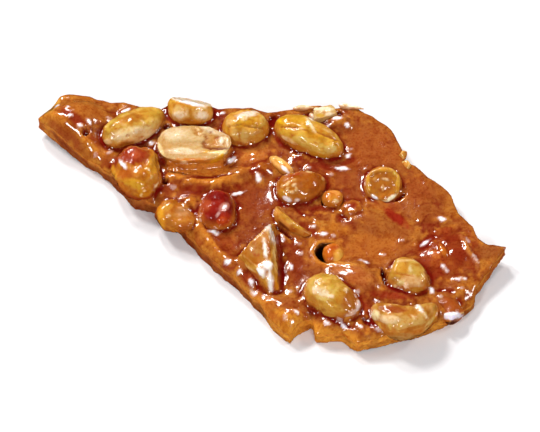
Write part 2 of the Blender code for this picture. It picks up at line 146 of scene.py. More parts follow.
# Marks on each kernel, as one sees it from above the near edge of the table: place to the right of its middle
# and up from it, length, width, colour, strength, turn and rise.
PALE = (216, 172, 106)
# A painted highlight.
PAINTED_HIGHLIGHT = (244, 218, 166)
HONEY = (190, 114, 34)
# Pale crests, and painted highlights.
PALE_CREST_AND_HIGHLIGHT = (232, 196, 136)
BROWN = (156, 78, 26)
GILT = (212, 150, 50)
# Many of the palest marks are painted highlights and glints, and a few dark bands low on a kernel are painted
# shadow.
KERNEL_MARKS = {
    "tan": (
        (0.6, 2.2, 10, 3.6, (206, 146, 52), 0.7, 22), (0, -1.5, 11, 3.6, (230, 204, 146), 0.9, 8),
        (-0.3, 1.7, 4.8, 2.2, (182, 123, 41), 0.9, 5, 0.12),
        (3.4, 3, 4.6, 1.6, (193, 145, 47), 0.8, -14, 0.03), (2, 0.8, 1.6, 0.5, PALE_CREST_AND_HIGHLIGHT, 0.8, -50, 0.15),
        (-2.2, 0.4, 2.6, 0.6, PALE, 0.8, -20, 0.12), (-0.6, 3, 6.4, 0.6, (210, 173, 84), 0.8, 22, 0.12),
        (0.7, -0.9, 3.2, 1.6, (228, 204, 159), 0.9, 14, 0.08),
        (-3.4, -1.9, 2.8, 1.6, (228, 204, 159), 0.9, 20, 0.05), (-5.5, -3.1, 1.8, 1.4, PALE_CREST_AND_HIGHLIGHT, 0.8, 0, 0.2),
        (4.6, 0.6, 2.8, 2.4, (216, 175, 95), 0.8), (0.9, 2.2, 4.6, 0.7, (167, 105, 35), 0.6, -24, -0.1),
        (-3.9, -0.4, 0.9, 0.7, HONEY, 0.8, 0, -0.12), (-1.3, -1.9, 0.9, 0.6, HONEY, 0.8, 30, -0.12),
        (1.6, -2.2, 0.9, 0.6, HONEY, 0.7, 0, -0.12), (3, 0.2, 1, 0.6, HONEY, 0.7, 0, -0.1),
        (-4.3, -2.2, 0.8, 0.6, HONEY, 0.8, 0, -0.1), (0.3, -4.1, 8, 1, BROWN, 0.8, 12),
    ),
    # Its two palest ovals, low on the front, are painted highlights.
    "rim_half": (
        (0.1, 1.1, 7.4, 1, (244, 236, 234), 1, -14), (-2.2, -1, 4.2, 3.4, (238, 200, 124), 0.95, 0, 0.03),
        (2.4, -1.1, 4.4, 3.2, (238, 200, 124), 0.95, 0, 0.03),
        (-2.2, -1.3, 3, 1.7, (252, 232, 198), 0.95, 0, 0.03),
        (2.3, -1.4, 3.2, 1.7, (252, 232, 198), 0.95, 0, 0.03),
        (0.1, -1.1, 0.7, 3.4, (208, 144, 48), 0.8, 0, -0.05), (-1.2, -1, 0.4, 2.6, GILT, 0.6),
        (1.4, -1, 0.4, 2.4, GILT, 0.6), (0, -3, 8.6, 0.7, (204, 132, 38), 0.9),
        (-4.2, -0.3, 1, 3.4, (224, 166, 62), 0.9, -10), (4.1, -0.5, 0.9, 2.4, (224, 166, 62), 0.8, 10),
        (0, 0.3, 8.4, 0.5, (220, 158, 56), 0.8, -12),
    ),
    # The two white bars at its right end are a painted reflection of a two-paned light, and the white line
    # above them and the pale spots on its orange side are painted glints.
    "pale_half": (
        (0, 0.3, 15.4, 8, (194, 138, 58), 1, 2), (-0.2, 0.6, 13.4, 6.4, (204, 172, 118), 1, 2),
        (-4.2, 1.9, 5.6, 2.8, (220, 198, 158), 0.9), (-2.4, -1.9, 7.8, 1.5, (226, 206, 170), 1, -2, 0.12),
        (-1.4, -0.2, 7, 1.3, (192, 152, 96), 0.9, 0, -0.15),
        (-6.9, -1.6, 1, 3, (232, 204, 146), 0.9, 24, 0.1), (-6.3, 0.2, 0.9, 3.4, (190, 144, 74), 0.6, 10),
        (-1.2, 3.5, 5.4, 1, (196, 154, 88), 0.7, 4), (4.8, 0.5, 5.8, 4.8, (186, 132, 62), 0.9, 0, -0.3),
        (4.5, 2.6, 6, 1.7, (218, 196, 160), 1, -14, 0.25), (4.4, 3.3, 4.6, 0.8, PAINTED_GLINT, 1, -18, 0.15),
        (0.9, 2.3, 2.4, 2, (176, 116, 36), 0.9, 0, -0.2), (0.8, 2.9, 0.7, 0.7, PAINTED_HIGHLIGHT, 0.8, 0, 0.15),
        (1.3, 2, 0.6, 0.6, PAINTED_HIGHLIGHT, 0.8, 0, 0.15), (2.6, 1.3, 1.8, 0.7, (148, 82, 26), 0.9, -60, -0.25),
        (2.2, -0.4, 1.2, 2.2, (140, 72, 24), 0.9, 0, -0.25),
        (3.1, -1, 1.4, 1, (148, 72, 24), 0.9, 0, -0.25), (2.7, -2, 1.2, 0.8, (222, 168, 62), 0.9, 0, 0.15),
        (5.4, -1.1, 4.8, 0.6, (118, 50, 20), 1, -4, -0.35), (4.8, 1.2, 1.6, 0.6, BROWN, 0.9, 20, -0.2),
        (3.6, 2.2, 0.7, 0.5, BROWN, 0.8, 0, -0.15), (4.4, 0.3, 0.6, 1.4, HONEY, 0.9, 0, -0.15),
        (5.8, 0.4, 1.1, 1.9, (246, 234, 208), 0.95, 0, 0.35),
        (7.1, 0.3, 0.8, 1.8, (246, 234, 208), 0.9, 0, 0.3),
        (6.4, 1, 1.4, 0.7, (240, 224, 188), 0.7, 0, 0.2),
        (5.3, -2.2, 4.4, 0.9, (240, 222, 166), 1, 3, 0.25),
        (-0.6, -4.6, 13.4, 2.8, (200, 120, 36), 1, 2, 0.05),
        (5.8, -3.3, 5.6, 1.2, (222, 160, 30), 1, 24, 0.25), (-2, -4.2, 1.4, 0.7, PAINTED_HIGHLIGHT, 0.9, -6, 0.25),
        (2, -4.9, 1, 0.7, PAINTED_GLINT, 0.9, 0, 0.25),
    ),
    # The whitish band across its top is a painted highlight, and the dark red line low on its right is
    # painted shadow.
    "furrowed": (
        (0.4, 3.1, 5.6, 1.4, (238, 218, 192), 1, 10, 0.2), (-0.4, 2.2, 1.6, 0.9, PAINTED_HIGHLIGHT, 0.8, 0, 0.1),
        (0.5, 1.2, 7.4, 1.3, (201, 146, 36), 0.9, 8), (-3.4, 1.6, 2, 1.4, PALE, 0.7, 40, 0.08),
        (-2.2, 0.7, 3.6, 0.4, BROWN, 0.7, 10, -0.2), (1.9, 0.3, 4.4, 0.4, BROWN, 0.7, -8, -0.2),
        (-0.2, -1.4, 1.9, 3.4, (216, 182, 104), 0.6, -6, 0.1),
        (-2.5, -0.8, 1.8, 3, (216, 182, 104), 0.6, 8, 0.12),
        (2.5, -1.4, 4, 2.6, (201, 142, 53), 0.9, 24, 0.1), (1.9, -0.9, 2.6, 0.6, PALE, 0.7, 20, 0.08),
        (-1.3, -1.6, 0.5, 2.4, HONEY, 0.8, 14, -0.15), (3.7, 1.8, 1.5, 3, (213, 177, 87), 0.8, -8, 0.08),
        (2.6, 1.3, 0.4, 1.8, HONEY, 0.7, -16, -0.12), (3, -2.9, 4.8, 0.7, (138, 62, 22), 0.9, 28),
        (-1, -3.1, 3.6, 0.8, BROWN, 0.7, -24),
    ),
    # The white spot at its top is a painted glint.
    "long": (
        (-5.9, 3.5, 2.6, 1.5, (226, 182, 27), 1, 10, 0.1), (-3.2, 3.3, 5.4, 2.2, (205, 151, 35), 0.9, -6),
        (-4.3, 2.2, 5.2, 0.4, BROWN, 0.9, -3, -0.25), (-1.3, 1.7, 2.4, 0.4, BROWN, 0.9, -18, -0.25),
        (-1.9, 2, 0.9, 0.6, PAINTED_HIGHLIGHT, 0.8, 0, 0.15), (-3.6, 0.9, 6, 1.7, (210, 167, 58), 0.9, -8, 0.1),
        (-3.7, 0.5, 1, 0.6, RUST, 0.8, 0, -0.05), (-4.4, -0.5, 3.6, 0.8, PALE_CREST_AND_HIGHLIGHT, 0.9, -30, 0.15),
        (0.6, -1.6, 9, 2.8, (214, 177, 81), 0.9, -24, 0.05),
        (4.6, -2.5, 2.6, 1.8, (222, 194, 116), 0.9, 0, 0.08), (0.3, 2.5, 4, 0.7, PAINTED_HIGHLIGHT, 1, -58, 0.3),
        (0.5, 4.3, 1.6, 1.3, WHITE_FLESH_AND_GLINT, 1, -40, 0.2), (3.6, 1.2, 5, 2, (192, 133, 41), 0.9, -32, 0.05),
        (3.9, 1.3, 2.6, 0.6, PALE, 0.8, -28, 0.1), (3.9, 0.2, 5.6, 0.4, BROWN, 0.9, -22, -0.25),
        (2.6, -4, 6.4, 0.9, (200, 141, 29), 0.8, -20), (1.3, -1.2, 1, 0.4, HONEY, 0.7, -20, -0.08),
        (-1.4, -0.9, 1.4, 0.4, HONEY, 0.7, -24, -0.08), (2.6, -2.4, 1.2, 0.5, HONEY, 0.7, -20, -0.08),
    ),
    "red_skin": (
        (-1.4, 4, 9, 4.8, (153, 54, 24), 1, -8), (-0.4, 3.8, 2.4, 1.8, (188, 87, 46), 0.7, 0, 0.1),
        (-5, 2.4, 1.8, 3.6, (139, 38, 19), 0.9), (3.6, 2, 3.8, 5.6, (202, 139, 37), 0.9, -14, 0.2),
        (1.9, 2.8, 0.9, 3.6, (153, 69, 28), 0.9, -24, -0.15),
        (-2.2, -0.4, 3.8, 2.8, (176, 92, 28), 0.9, -10), (-4.9, 0, 1.2, 3.4, (215, 152, 46), 0.9, 8, 0.2),
        (-0.8, -2.2, 5.6, 1.9, (209, 154, 42), 0.9, -16, 0.2),
        (0.6, -0.2, 3.2, 1.4, (200, 127, 42), 0.8, 20, 0.1),
        (1.4, -4.2, 4.6, 1.8, (205, 141, 35), 0.9, 10, 0.15), (-3, 1.7, 2.6, 0.9, PAINTED_GLINT, 1, -46, 0.25),
        (0.5, 1.2, 1, 0.6, PAINTED_GLINT, 0.8, 30, 0.2), (2.1, 0.7, 1, 0.4, PAINTED_HIGHLIGHT, 0.7, -30, 0.15),
        (2.8, -1.1, 1.2, 0.4, PALE_CREST_AND_HIGHLIGHT, 0.7, 30, 0.15), (3.8, -2.7, 1.5, 0.45, PAINTED_HIGHLIGHT, 0.8, 50, 0.2),
        (1.5, -3.8, 0.8, 0.5, PAINTED_HIGHLIGHT, 0.8, 20, 0.2), (0.9, -4.6, 0.5, 0.8, PAINTED_HIGHLIGHT, 0.7, 0, 0.2),
        (3.2, -4.6, 1.4, 1.2, (142, 48, 22), 0.8), (-4.2, -3.4, 2.4, 1.4, (142, 60, 22), 0.8, -50),
        (-1, -3.7, 3, 0.6, (174, 100, 33), 0.7, -24, -0.1),
    ),
    # The pale pink spot with its white core and the pink streak below it are a painted highlight, and the
    # darker bands along its top, right and bottom edges are painted shade.
    "red_round": (
        (-2.8, 1.6, 3.6, 3.4, (176, 78, 40), 0.8, 60, 0.1),
        (-3.4, 0.4, 1.6, 0.6, (206, 132, 96), 0.5, 60, 0.1), (1.4, -1.4, 3.4, 3.6, (172, 46, 22), 0.8, -10),
        (-0.6, 3.2, 6, 2, (116, 18, 14), 0.7), (2.6, 1.4, 2, 4.6, (106, 14, 12), 0.6, 14),
        (-0.6, -1, 2.6, 2.6, (134, 24, 16), 0.7), (1.1, -1.8, 2.4, 1.3, (200, 80, 32), 0.9, 30, 0.1),
        (1.5, 0.8, 2.8, 1.7, (212, 146, 136), 0.8, 40), (1.6, 0.9, 1.5, 0.7, PAINTED_GLINT, 1, 40),
        (0.3, -0.6, 1.4, 0.7, (226, 180, 176), 0.8, 60, 0.05), (0, -4.1, 5, 1, (104, 18, 12), 0.8),
    ),
    "overhang": (
        (0, 0, 8, 7, (188, 118, 42), 0.8), (-2.9, 0.4, 1.5, 5.4, (222, 156, 42), 1, 14, 0.1),
        (-1.6, 2.2, 2.8, 1.6, (208, 148, 52), 0.8, 20), (1.4, 1.2, 3.4, 2.8, (192, 134, 80), 0.8, 0, 0.05),
        (-1.5, 0.4, 1.1, 0.7, PAINTED_HIGHLIGHT, 0.7, 20, 0.08), (1.2, 1.9, 1.3, 0.9, (208, 160, 110), 0.8, 0, 0.15),
        (2, -1.8, 3.4, 1.8, (166, 84, 32), 0.7, 30), (-0.4, -2.4, 3.4, 0.9, (204, 128, 38), 0.8, -30),
    ),
    # The white and white-pink spots low on its left are painted glints.
    "mid": (
        (2, 1, 6, 4.8, (168, 91, 23), 0.9), (-2.4, 0, 4.6, 4.4, (189, 118, 31), 0.7, 10),
        (-1.2, 0.6, 1.2, 0.7, PAINTED_HIGHLIGHT, 0.9, 30, 0.15), (-0.8, -0.2, 0.6, 1.2, PALE_CREST_AND_HIGHLIGHT, 0.9, 0, 0.12),
        (-2.6, 0.9, 1.4, 0.7, PALE_CREST_AND_HIGHLIGHT, 0.9, 50, 0.12), (-1.7, -0.9, 1.3, 0.8, PALE_CREST_AND_HIGHLIGHT, 0.9, 0, 0.15),
        (-2.6, -0.2, 0.7, 0.9, PALE, 0.9, 0, 0.1), (-3.6, 0.4, 0.9, 0.7, PALE_CREST_AND_HIGHLIGHT, 0.8, 0, 0.1),
        (-1.4, 1.6, 1.4, 0.6, PALE, 0.8, 20, 0.1), (-3.4, -1.4, 3.6, 1.6, (207, 147, 45), 0.9, -42, 0.1),
        (-2.7, -2.3, 2, 1, PAINTED_GLINT, 1, -30), (-0.6, -2.5, 1, 0.8, (250, 232, 228), 0.9, 10, 0.12),
        (4.9, 1.9, 0.8, 0.8, PALE, 0.7, 0, 0.12), (1.9, 3.4, 1.4, 0.6, PAINTED_HIGHLIGHT, 0.6, -8, 0.1),
        (1, -0.6, 2.4, 1, (180, 104, 28), 0.7, 10), (-1, 2.8, 4, 0.6, RUST, 0.7, 14),
    ),
    # The dark band along its lower left is painted shadow.
    "crescent": (
        (-1.8, 0.3, 6.4, 1.8, (210, 157, 56), 0.9, -47),
        (-0.6, 0.3, 4.6, 0.5, (241, 223, 149), 1, -52, 0.12), (-3.1, 2.7, 2, 0.5, PALE_CREST_AND_HIGHLIGHT, 0.9, -36, 0.12),
        (1, -0.8, 1.8, 0.5, PAINTED_HIGHLIGHT, 1, -34, 0.15), (1.7, -1.2, 0.9, 0.7, WHITE_FLESH_AND_GLINT, 0.9, -30, 0.2),
        (0.8, -1.9, 2.2, 0.7, (224, 176, 58), 0.9, -14, 0.05),
        (-2.4, -1.6, 4, 0.7, (118, 45, 23), 0.8, -40),
    ),
    # The white patches low on its broken side are pale flesh with a painted highlight over it.
    "shard": (
        (-3.2, 1.6, 6, 5, (177, 113, 35), 0.8), (-2.6, 1.8, 3.2, 2.6, (183, 132, 68), 0.8, 0, 0.1),
        (-6.4, 1, 1.4, 1.6, (205, 155, 54), 0.9, 0, 0.15), (-3.9, 3.2, 3.8, 0.5, GILT, 0.8, 46, 0.1),
        (-2.8, 1.1, 0.9, 0.6, RUST, 0.7, 0, -0.1), (-2, 0.7, 0.6, 0.6, RUST, 0.7, 0, -0.1),
        (-1.3, 4.8, 0.6, 1.2, PALE, 0.8, 0, 0.15), (-0.5, 2.2, 4.4, 0.9, (250, 240, 226), 1, -83, 0.3),
        (0, 6.7, 1.6, 1.8, WHITE_FLESH_AND_GLINT, 1, 0, 0.25), (0.8, 4.6, 3.8, 1, (252, 246, 232), 1, -78, 0.3),
        (1.3, 1.4, 3.8, 0.8, (242, 204, 124), 1, -88, 0.3),
        (0.4, 2.4, 5, 0.6, (181, 101, 29), 1, -82, -0.15), (0, -1.4, 2.3, 2, (252, 248, 240), 1, 0, 0.4),
        (-1.3, -2.6, 3, 1.4, (252, 248, 240), 1, -55, 0.35),
        (0.6, -4.8, 5, 1.1, (252, 248, 240), 1, -84, 0.35),
        (1.6, -1.8, 3.8, 0.7, (240, 192, 98), 1, -84, 0.25),
        (1.9, -4.8, 4.6, 1, (216, 144, 34), 1, -88, 0.1), (-4.4, -1.4, 5, 0.5, PALE, 0.7, -34, 0.1),
        (-2.8, -3.9, 3, 2.4, (164, 78, 30), 0.9, -50),
    ),
    # The white and pale crescents low on its rim are painted highlights.
    "upright": (
        (-0.2, 0.3, 6, 5.2, (178, 104, 30), 0.8, 0, -0.1), (0.4, 1.3, 1.5, 0.7, PAINTED_HIGHLIGHT, 0.8, -20, 0.12),
        (0, -0.6, 0.7, 1.4, PALE_CREST_AND_HIGHLIGHT, 0.7, 0, 0.12), (-1.7, 1.2, 0.8, 1, PALE, 0.4, 0, 0.05),
        (-1.8, -2.5, 2, 0.7, PAINTED_GLINT, 1, -38, 0.1), (0.2, -3.4, 2.2, 0.5, PAINTED_HIGHLIGHT, 0.8, 4, 0.05),
        (1.8, -2.6, 2.6, 0.8, (252, 240, 204), 1, 36, 0.1),
        (2.5, 2.5, 0.8, 1, (219, 181, 63), 0.7, 0, 0.05),
        (3.1, 0.2, 0.9, 4.4, (224, 170, 56), 0.9, -4, 0.1),
        (-3.1, 0.4, 0.9, 4, (220, 162, 54), 0.8, 4, 0.1), (0.3, 3.2, 4, 0.8, (222, 164, 56), 0.8, 0, 0.1),
    ),
    # Its whitest patches at the upper left are pale skin with a painted highlight, and the pale arcs in the
    # film at its right end are a painted glint.
    "cream": (
        (-2.2, 1.4, 6.2, 3.6, (216, 182, 98), 0.9, -28),
        (-3.4, 1.9, 1.5, 1.9, (250, 228, 200), 0.9, -10, 0.15),
        (-1.9, 1.4, 3, 1.8, (230, 209, 171), 0.9, -30, 0.08),
        (-0.4, 0.5, 1.5, 1, (248, 222, 190), 0.9, 0, 0.15), (-1.4, -2.4, 5.4, 4, (206, 156, 62), 0.8),
        (-1.7, -2.4, 1, 0.8, (168, 109, 41), 0.7, 0, -0.1),
        (-3.2, 3.4, 1.1, 0.8, (173, 118, 41), 0.7, 0, -0.12),
        (-1.7, 2.8, 1, 0.7, (178, 124, 45), 0.7, 0, -0.12), (-0.2, -0.9, 1.2, 0.6, HONEY, 0.7, -40, -0.08),
        (4, -0.4, 5.6, 6.4, (173, 105, 35), 1, -20, 0.1), (1.6, 0.8, 2, 4.4, (189, 137, 45), 0.8, -20),
        (2.8, 1.8, 1, 0.9, PAINTED_HIGHLIGHT, 0.8, 0, 0.3), (5.3, -1, 1.1, 2.6, (240, 222, 218), 0.9, -12, 0.3),
        (4, -2.9, 2.8, 0.9, (236, 214, 206), 0.8, 24, 0.3),
    ),
    "block": (
        (-1.8, 1.4, 4.4, 2.8, (208, 154, 56), 0.9, 10, 0.05),
        (0.5, 1.4, 0.8, 1.9, (214, 191, 136), 0.9, 0, 0.15), (-3, 0.2, 1.6, 2, (189, 146, 54), 0.7),
        (1, -1, 4.6, 2.8, (216, 178, 126), 0.9, -16, 0.12),
        (-0.4, -1.9, 1, 1.3, (250, 226, 190), 1, 0, 0.2),
        (-1.5, -1.4, 1.7, 1.2, (216, 191, 120), 0.9, 10, 0.15),
        (1.7, -2.8, 3, 1.2, (184, 129, 40), 0.9, 0, 0.05), (-2.6, -2.1, 0.9, 0.8, PALE_CREST_AND_HIGHLIGHT, 0.8, 0, 0.12),
        (-0.6, 0.2, 5, 0.4, HONEY, 0.8, -8, -0.12), (4.4, 1.2, 2, 5, (166, 96, 36), 0.9),
        (2.6, 2.4, 2, 2.4, (186, 136, 54), 0.8), (-0.9, 3.1, 3.4, 0.5, PALE_CREST_AND_HIGHLIGHT, 0.5, 4, 0.08),
    ),
    # The white streak at its upper right and the palest spot at its left end are painted highlights.
    "bean": (
        (0, -3.9, 12, 2, (179, 129, 67), 0.9), (0.2, -0.8, 8.6, 3.2, (208, 164, 88), 0.85),
        (-5.8, 0.7, 1.7, 2.2, (240, 224, 171), 1, 10, 0.25),
        (-3.3, -0.1, 4.6, 1.9, (236, 208, 160), 0.95, -2, 0.2),
        (-5, -1.8, 0.5, 2.4, (218, 180, 84), 0.8, 10, 0.1),
        (-3, -1.8, 0.5, 2.4, (218, 180, 84), 0.8, 4, 0.1),
        (-1.2, -1.8, 0.5, 2.4, (218, 180, 84), 0.8, 0, 0.1), (-4, -1.9, 0.4, 2.4, HONEY, 0.8, 8, -0.1),
        (-2.1, -1.9, 0.4, 2.4, HONEY, 0.8, 2, -0.1), (1.6, -1.9, 6, 0.8, (179, 111, 32), 0.9, 12, -0.05),
        (-2.6, -3.1, 5, 0.6, (179, 111, 32), 0.8, -8, -0.05),
        (5, -1, 4, 0.8, (211, 178, 104), 0.9, 52, 0.1), (4, -2.1, 3.4, 0.4, HONEY, 0.7, 40, -0.08),
        (3, 2.2, 2.6, 0.9, WHITE_FLESH_AND_GLINT, 1, -50, 0.3), (4.4, 0.5, 1.6, 0.6, PAINTED_HIGHLIGHT, 1, -58, 0.2),
        (1.6, 0.5, 1.8, 0.5, PAINTED_HIGHLIGHT, 0.9, -55, 0.15), (1, 1.2, 3, 1.6, (190, 132, 47), 0.8),
        (-2.4, 2, 6, 1.6, (155, 69, 25), 0.9, -4, -0.2), (6.4, 0.4, 1.4, 2.4, GILT, 0.7),
    ),
    "rim_chunk": (
        (-0.2, 1.5, 4.8, 1.1, (244, 230, 200), 1, -2, 0.1),
        (1.1, 0.4, 2.2, 1.2, (213, 191, 157), 0.9, 0, 0.05), (-1, 0.1, 2, 0.9, (199, 149, 43), 0.9),
        (-0.1, 0.7, 0.5, 1.2, HONEY, 0.6, 0, -0.08),
    ),
    # The white line on its face is a painted glint, and the dark band under it is painted shadow.
    "rim_broken": (
        (-1, 1.4, 9, 5.4, (160, 78, 26), 1), (1, -1.4, 4.6, 1.5, (222, 214, 226), 1, 4),
        (0.4, -0.9, 3.4, 0.6, PAINTED_GLINT, 1, 6, 0.05), (-0.2, -3, 4.6, 0.9, (70, 26, 16), 0.9, 8),
    ),
}

# Towards the viewer who stands over the near edge, 54 degrees above the table.
VIEW_SLOPE = math.radians(54.0)
SEEN_UP = np.array((0.0, math.sin(VIEW_SLOPE), math.cos(VIEW_SLOPE)))
SEEN_FROM = np.array((0.0, -math.cos(VIEW_SLOPE), math.sin(VIEW_SLOPE)))


def ease(low, high, value):
    share = np.clip((value - low) / (high - low), 0.0, 1.0)
    return share * share * (3.0 - 2.0 * share)


def fuse(first, second, reach):
    overlap = np.maximum(reach - np.abs(first - second), 0.0)
    return np.maximum(first, second) + overlap * overlap / (4.0 * reach)


def soft_limit(value, limit, reach):
    """The lesser of the two, with a rounded edge."""
    return -fuse(-value, -limit, reach)


def overlaid(colours, paint, share):
    """The colours with a paint, in linear light, laid over them by a share for each point."""
    share = np.asarray(share)[:, None]
    return colours * (1.0 - share) + paint * share


def blended(colours, colour, share):
    """The same with a colour as it looks, from 0 to 255."""
    return overlaid(colours, tone(*colour), share)


def layered(colours, *layers):
    """The same with several colours, each with its share, laid over one another in turn."""
    for colour, share in layers:
        colours = blended(colours, colour, share)
    return colours


def clouds(points, size, seed):
    """Smooth noise from -1 to 1, whose lumps are about that size, at each of the points."""
    return np.array([noise.noise((p[0] / size, p[1] / size, p[2] / size + seed)) for p in points])


def oval_reach(x, y, middle, length, width, heading):
    """Squared distance from the middle of an oval, 1 on its outline."""
    turn = math.radians(heading)
    along = ((x - middle[0]) * math.cos(turn) + (y - middle[1]) * math.sin(turn)) / (length / 2)
    aside = ((y - middle[1]) * math.cos(turn) - (x - middle[0]) * math.sin(turn)) / (width / 2)
    return along * along + aside * aside


def marked(x, y, marks, ragged, shown, rise, colours):
    """Adds each mark's rise and colour, with a ragged outline, on the side that shows.

    Its turn and rise are 0 where the mark leaves them out.
    """
    for mark in marks:
        u, v, length, width, colour, strength, turn, lift = mark + (0, 0)[len(mark) - 6:]
        reach = oval_reach(x, y, (u, v), length, width, turn)
        share = (1.0 - ease(0.3, 1.3, reach + 0.45 * ragged)) * shown
        rise = rise + lift * share
        colours = blended(colours, colour, share * strength)
    return rise, colours


def curl(x, y):
    return sum(rise * (1.0 - ease(0.0, reach, np.hypot(x - m[0], y - m[1]))) for m, reach, rise in CURLS)


def grown_mesh(bm, name):
    mesh = bpy.data.meshes.new(name)
    bm.to_mesh(mesh)
    bm.free()
    return mesh


def linked(name, mesh):
    obj = bpy.data.objects.new(name, mesh)
    bpy.context.scene.collection.objects.link(obj)
    return obj


def read_vectors(items, key):
    values = np.empty(len(items) * 3)
    items.foreach_get(key, values)
    return values.reshape(-1, 3)


def place_points(mesh, points):
    mesh.vertices.foreach_set("co", (points * MM).ravel())
    mesh.update()


def give_tones(mesh, colours, wet):
    """The colour of each point, and how thick the glossy film on it is, for the finish to read."""
    rgba = np.column_stack((np.clip(colours, 0.0, 1.0), np.ones(len(colours))))
    painted = mesh.attributes.new("tone", "FLOAT_COLOR", "POINT")
    painted.data.foreach_set("color", rgba.astype(np.float32).ravel())
    film = mesh.attributes.new("wet", "FLOAT", "POINT")
    film.data.foreach_set("value", wet.astype(np.float32))


def kernel_shape(points, size, form, seed):
    """Moves the points of a unit ball to a kernel, in millimetres along X, and tells which lie on a break."""
    length, width, height = size
    along = np.clip(points[:, 0], -1.0, 1.0)
    ring = np.sqrt(np.maximum(1.0 - along * along, 1e-9))
    full = np.where(ring > 0.01, np.sqrt(np.maximum(1.0 - np.abs(along) ** 2.6, 0.0)) / ring, 1.0)
    full *= 1.0 - EGG_SHAPE * along
    body = np.column_stack(
        (along * length / 2, points[:, 1] * full * width / 2, points[:, 2] * full * height / 2)
    )
    skin = points / np.array([length, width, height])
    skin /= np.linalg.norm(skin, axis=1)[:, None]
    rough = FORM_LUMPS.get(form, 1.0)
    body += skin * rough * (0.42 * clouds(body, 3.4, seed) + 0.18 * clouds(body, 1.3, seed + 3.0))[:, None]
    reach = (body[:, 0] / (length / 2)) ** 2
    broken = np.zeros(len(body))
    if form == "bean":
        body[:, 1] += BEAN_BEND * (reach - 0.4)
    if form == "half":
        furrow = -0.35 * np.exp(-((body[:, 1] / 1.2) ** 2)) * (1.0 - reach)
        face = furrow - 0.25 + 0.1 * clouds(body, 1.6, seed)
        broken = ease(-0.4, 0.1, body[:, 2] - face)
        body[:, 2] = soft_limit(body[:, 2], face, 0.6)
    edge = FORM_EDGES.get(form, BREAK_EDGE_WIDTH)
    for place, outward in BREAKS.get(form, ()):
        outward = np.array(outward) / np.linalg.norm(outward)
        beyond = (body - place) @ outward
        rough = 0.18 * clouds(body, 1.3, seed) + 0.08 * clouds(body, 0.5, seed)
        broken = np.maximum(broken, ease(-0.3, 0.2, beyond))
        body += (soft_limit(beyond, rough, edge) - beyond)[:, None] * outward
    return body, broken


def kernel_piece(name, setting, tones, marks, finish, fineness=5):
    """A kernel as a mesh, set in its place and painted. Returns the object and its points in millimetres."""
    place, size, turn, form, climb = setting
    skin, toasted, flesh, glaze = tones
    seed = sum(map(ord, name)) * 0.37
    bm = bmesh.new()
    bmesh.ops.create_icosphere(bm, subdivisions=fineness, radius=1.0)
    mesh = grown_mesh(bm, name)
    body, broken = kernel_shape(read_vectors(mesh.vertices, "co"), size, form, seed)
    heading, pitch, roll = (math.radians(angle) for angle in turn)
    rotation = np.array(Euler((roll, -pitch, heading), "XYZ").to_matrix())
    lift = float(curl(np.array(place[0]), np.array(place[1])))
    world = body @ rotation.T + np.array(place)
    world[:, 2] = lift - soft_limit(-world[:, 2], -FOOT, FOOT_EDGE)
    place_points(mesh, world)
    normal = read_vectors(mesh.vertices, "normal")
    coarse, fine = clouds(world, 2.4, seed), clouds(world, 0.8, seed)
    patch = clouds(world, 1.5, seed + 5.0) * (0.3 if form == "dome" else 1.0)
    colours = np.tile(tone(*skin), (len(world), 1))
    colours = blended(colours, toasted, ease(-0.1, 0.35, coarse + 0.5 * fine))
    whole = 1.0 - broken
    colours = overlaid(colours, tone(*skin) * 1.25 + 0.06, 0.6 * ease(0.0, 0.35, patch + 0.3 * fine) * whole)
    colours = overlaid(colours, tone(*toasted) * 0.78, 0.7 * ease(0.1, 0.4, -patch - 0.3 * fine) * whole)
    film = 1.0 - ease(climb - 0.8, climb + 1.4, world[:, 2] - lift + 1.2 * coarse + 0.4 * fine)
    film = np.maximum(film, glaze * ease(0.0, 0.3, clouds(world, 1.7, seed + 9.0)))
    # Flanks that turn away from above get a warm orange as painted shade; then come the broken flesh with its
    # pale edges, the film, and a darker red foot low down.
    colours = layered(
        colours,
        (PAINTED_FLANK_SHADE, 0.65 * (1.0 - ease(0.15, 0.8, normal[:, 2])) * whole),
        (flesh, broken),
        (BREAK_EDGE, 2.4 * broken * whole),
        (AMBER, 0.85 * film),
        (DEEP, 0.8 * (1.0 - ease(climb - 2.0, climb, world[:, 2] - lift))),
    )
    seen = world - (np.array(place) + (0.0, 0.0, lift))
    rise = 0.04 * fine + 0.1 * film
    shown = ease(0.0, 0.3, normal @ SEEN_FROM)
    rise, colours = marked(seen[:, 0], seen @ SEEN_UP, marks, fine + 0.6 * coarse, shown, rise, colours)
    world += normal * rise[:, None]
    place_points(mesh, world)
    give_tones(mesh, colours, np.clip(0.4 + 0.6 * film + 2.0 * np.maximum(rise - 0.1, 0.0), 0.0, 1.0))
    mesh.shade_smooth()
    mesh.materials.append(finish)
    piece = linked(name, mesh)
    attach(piece, "root")
    return piece, world


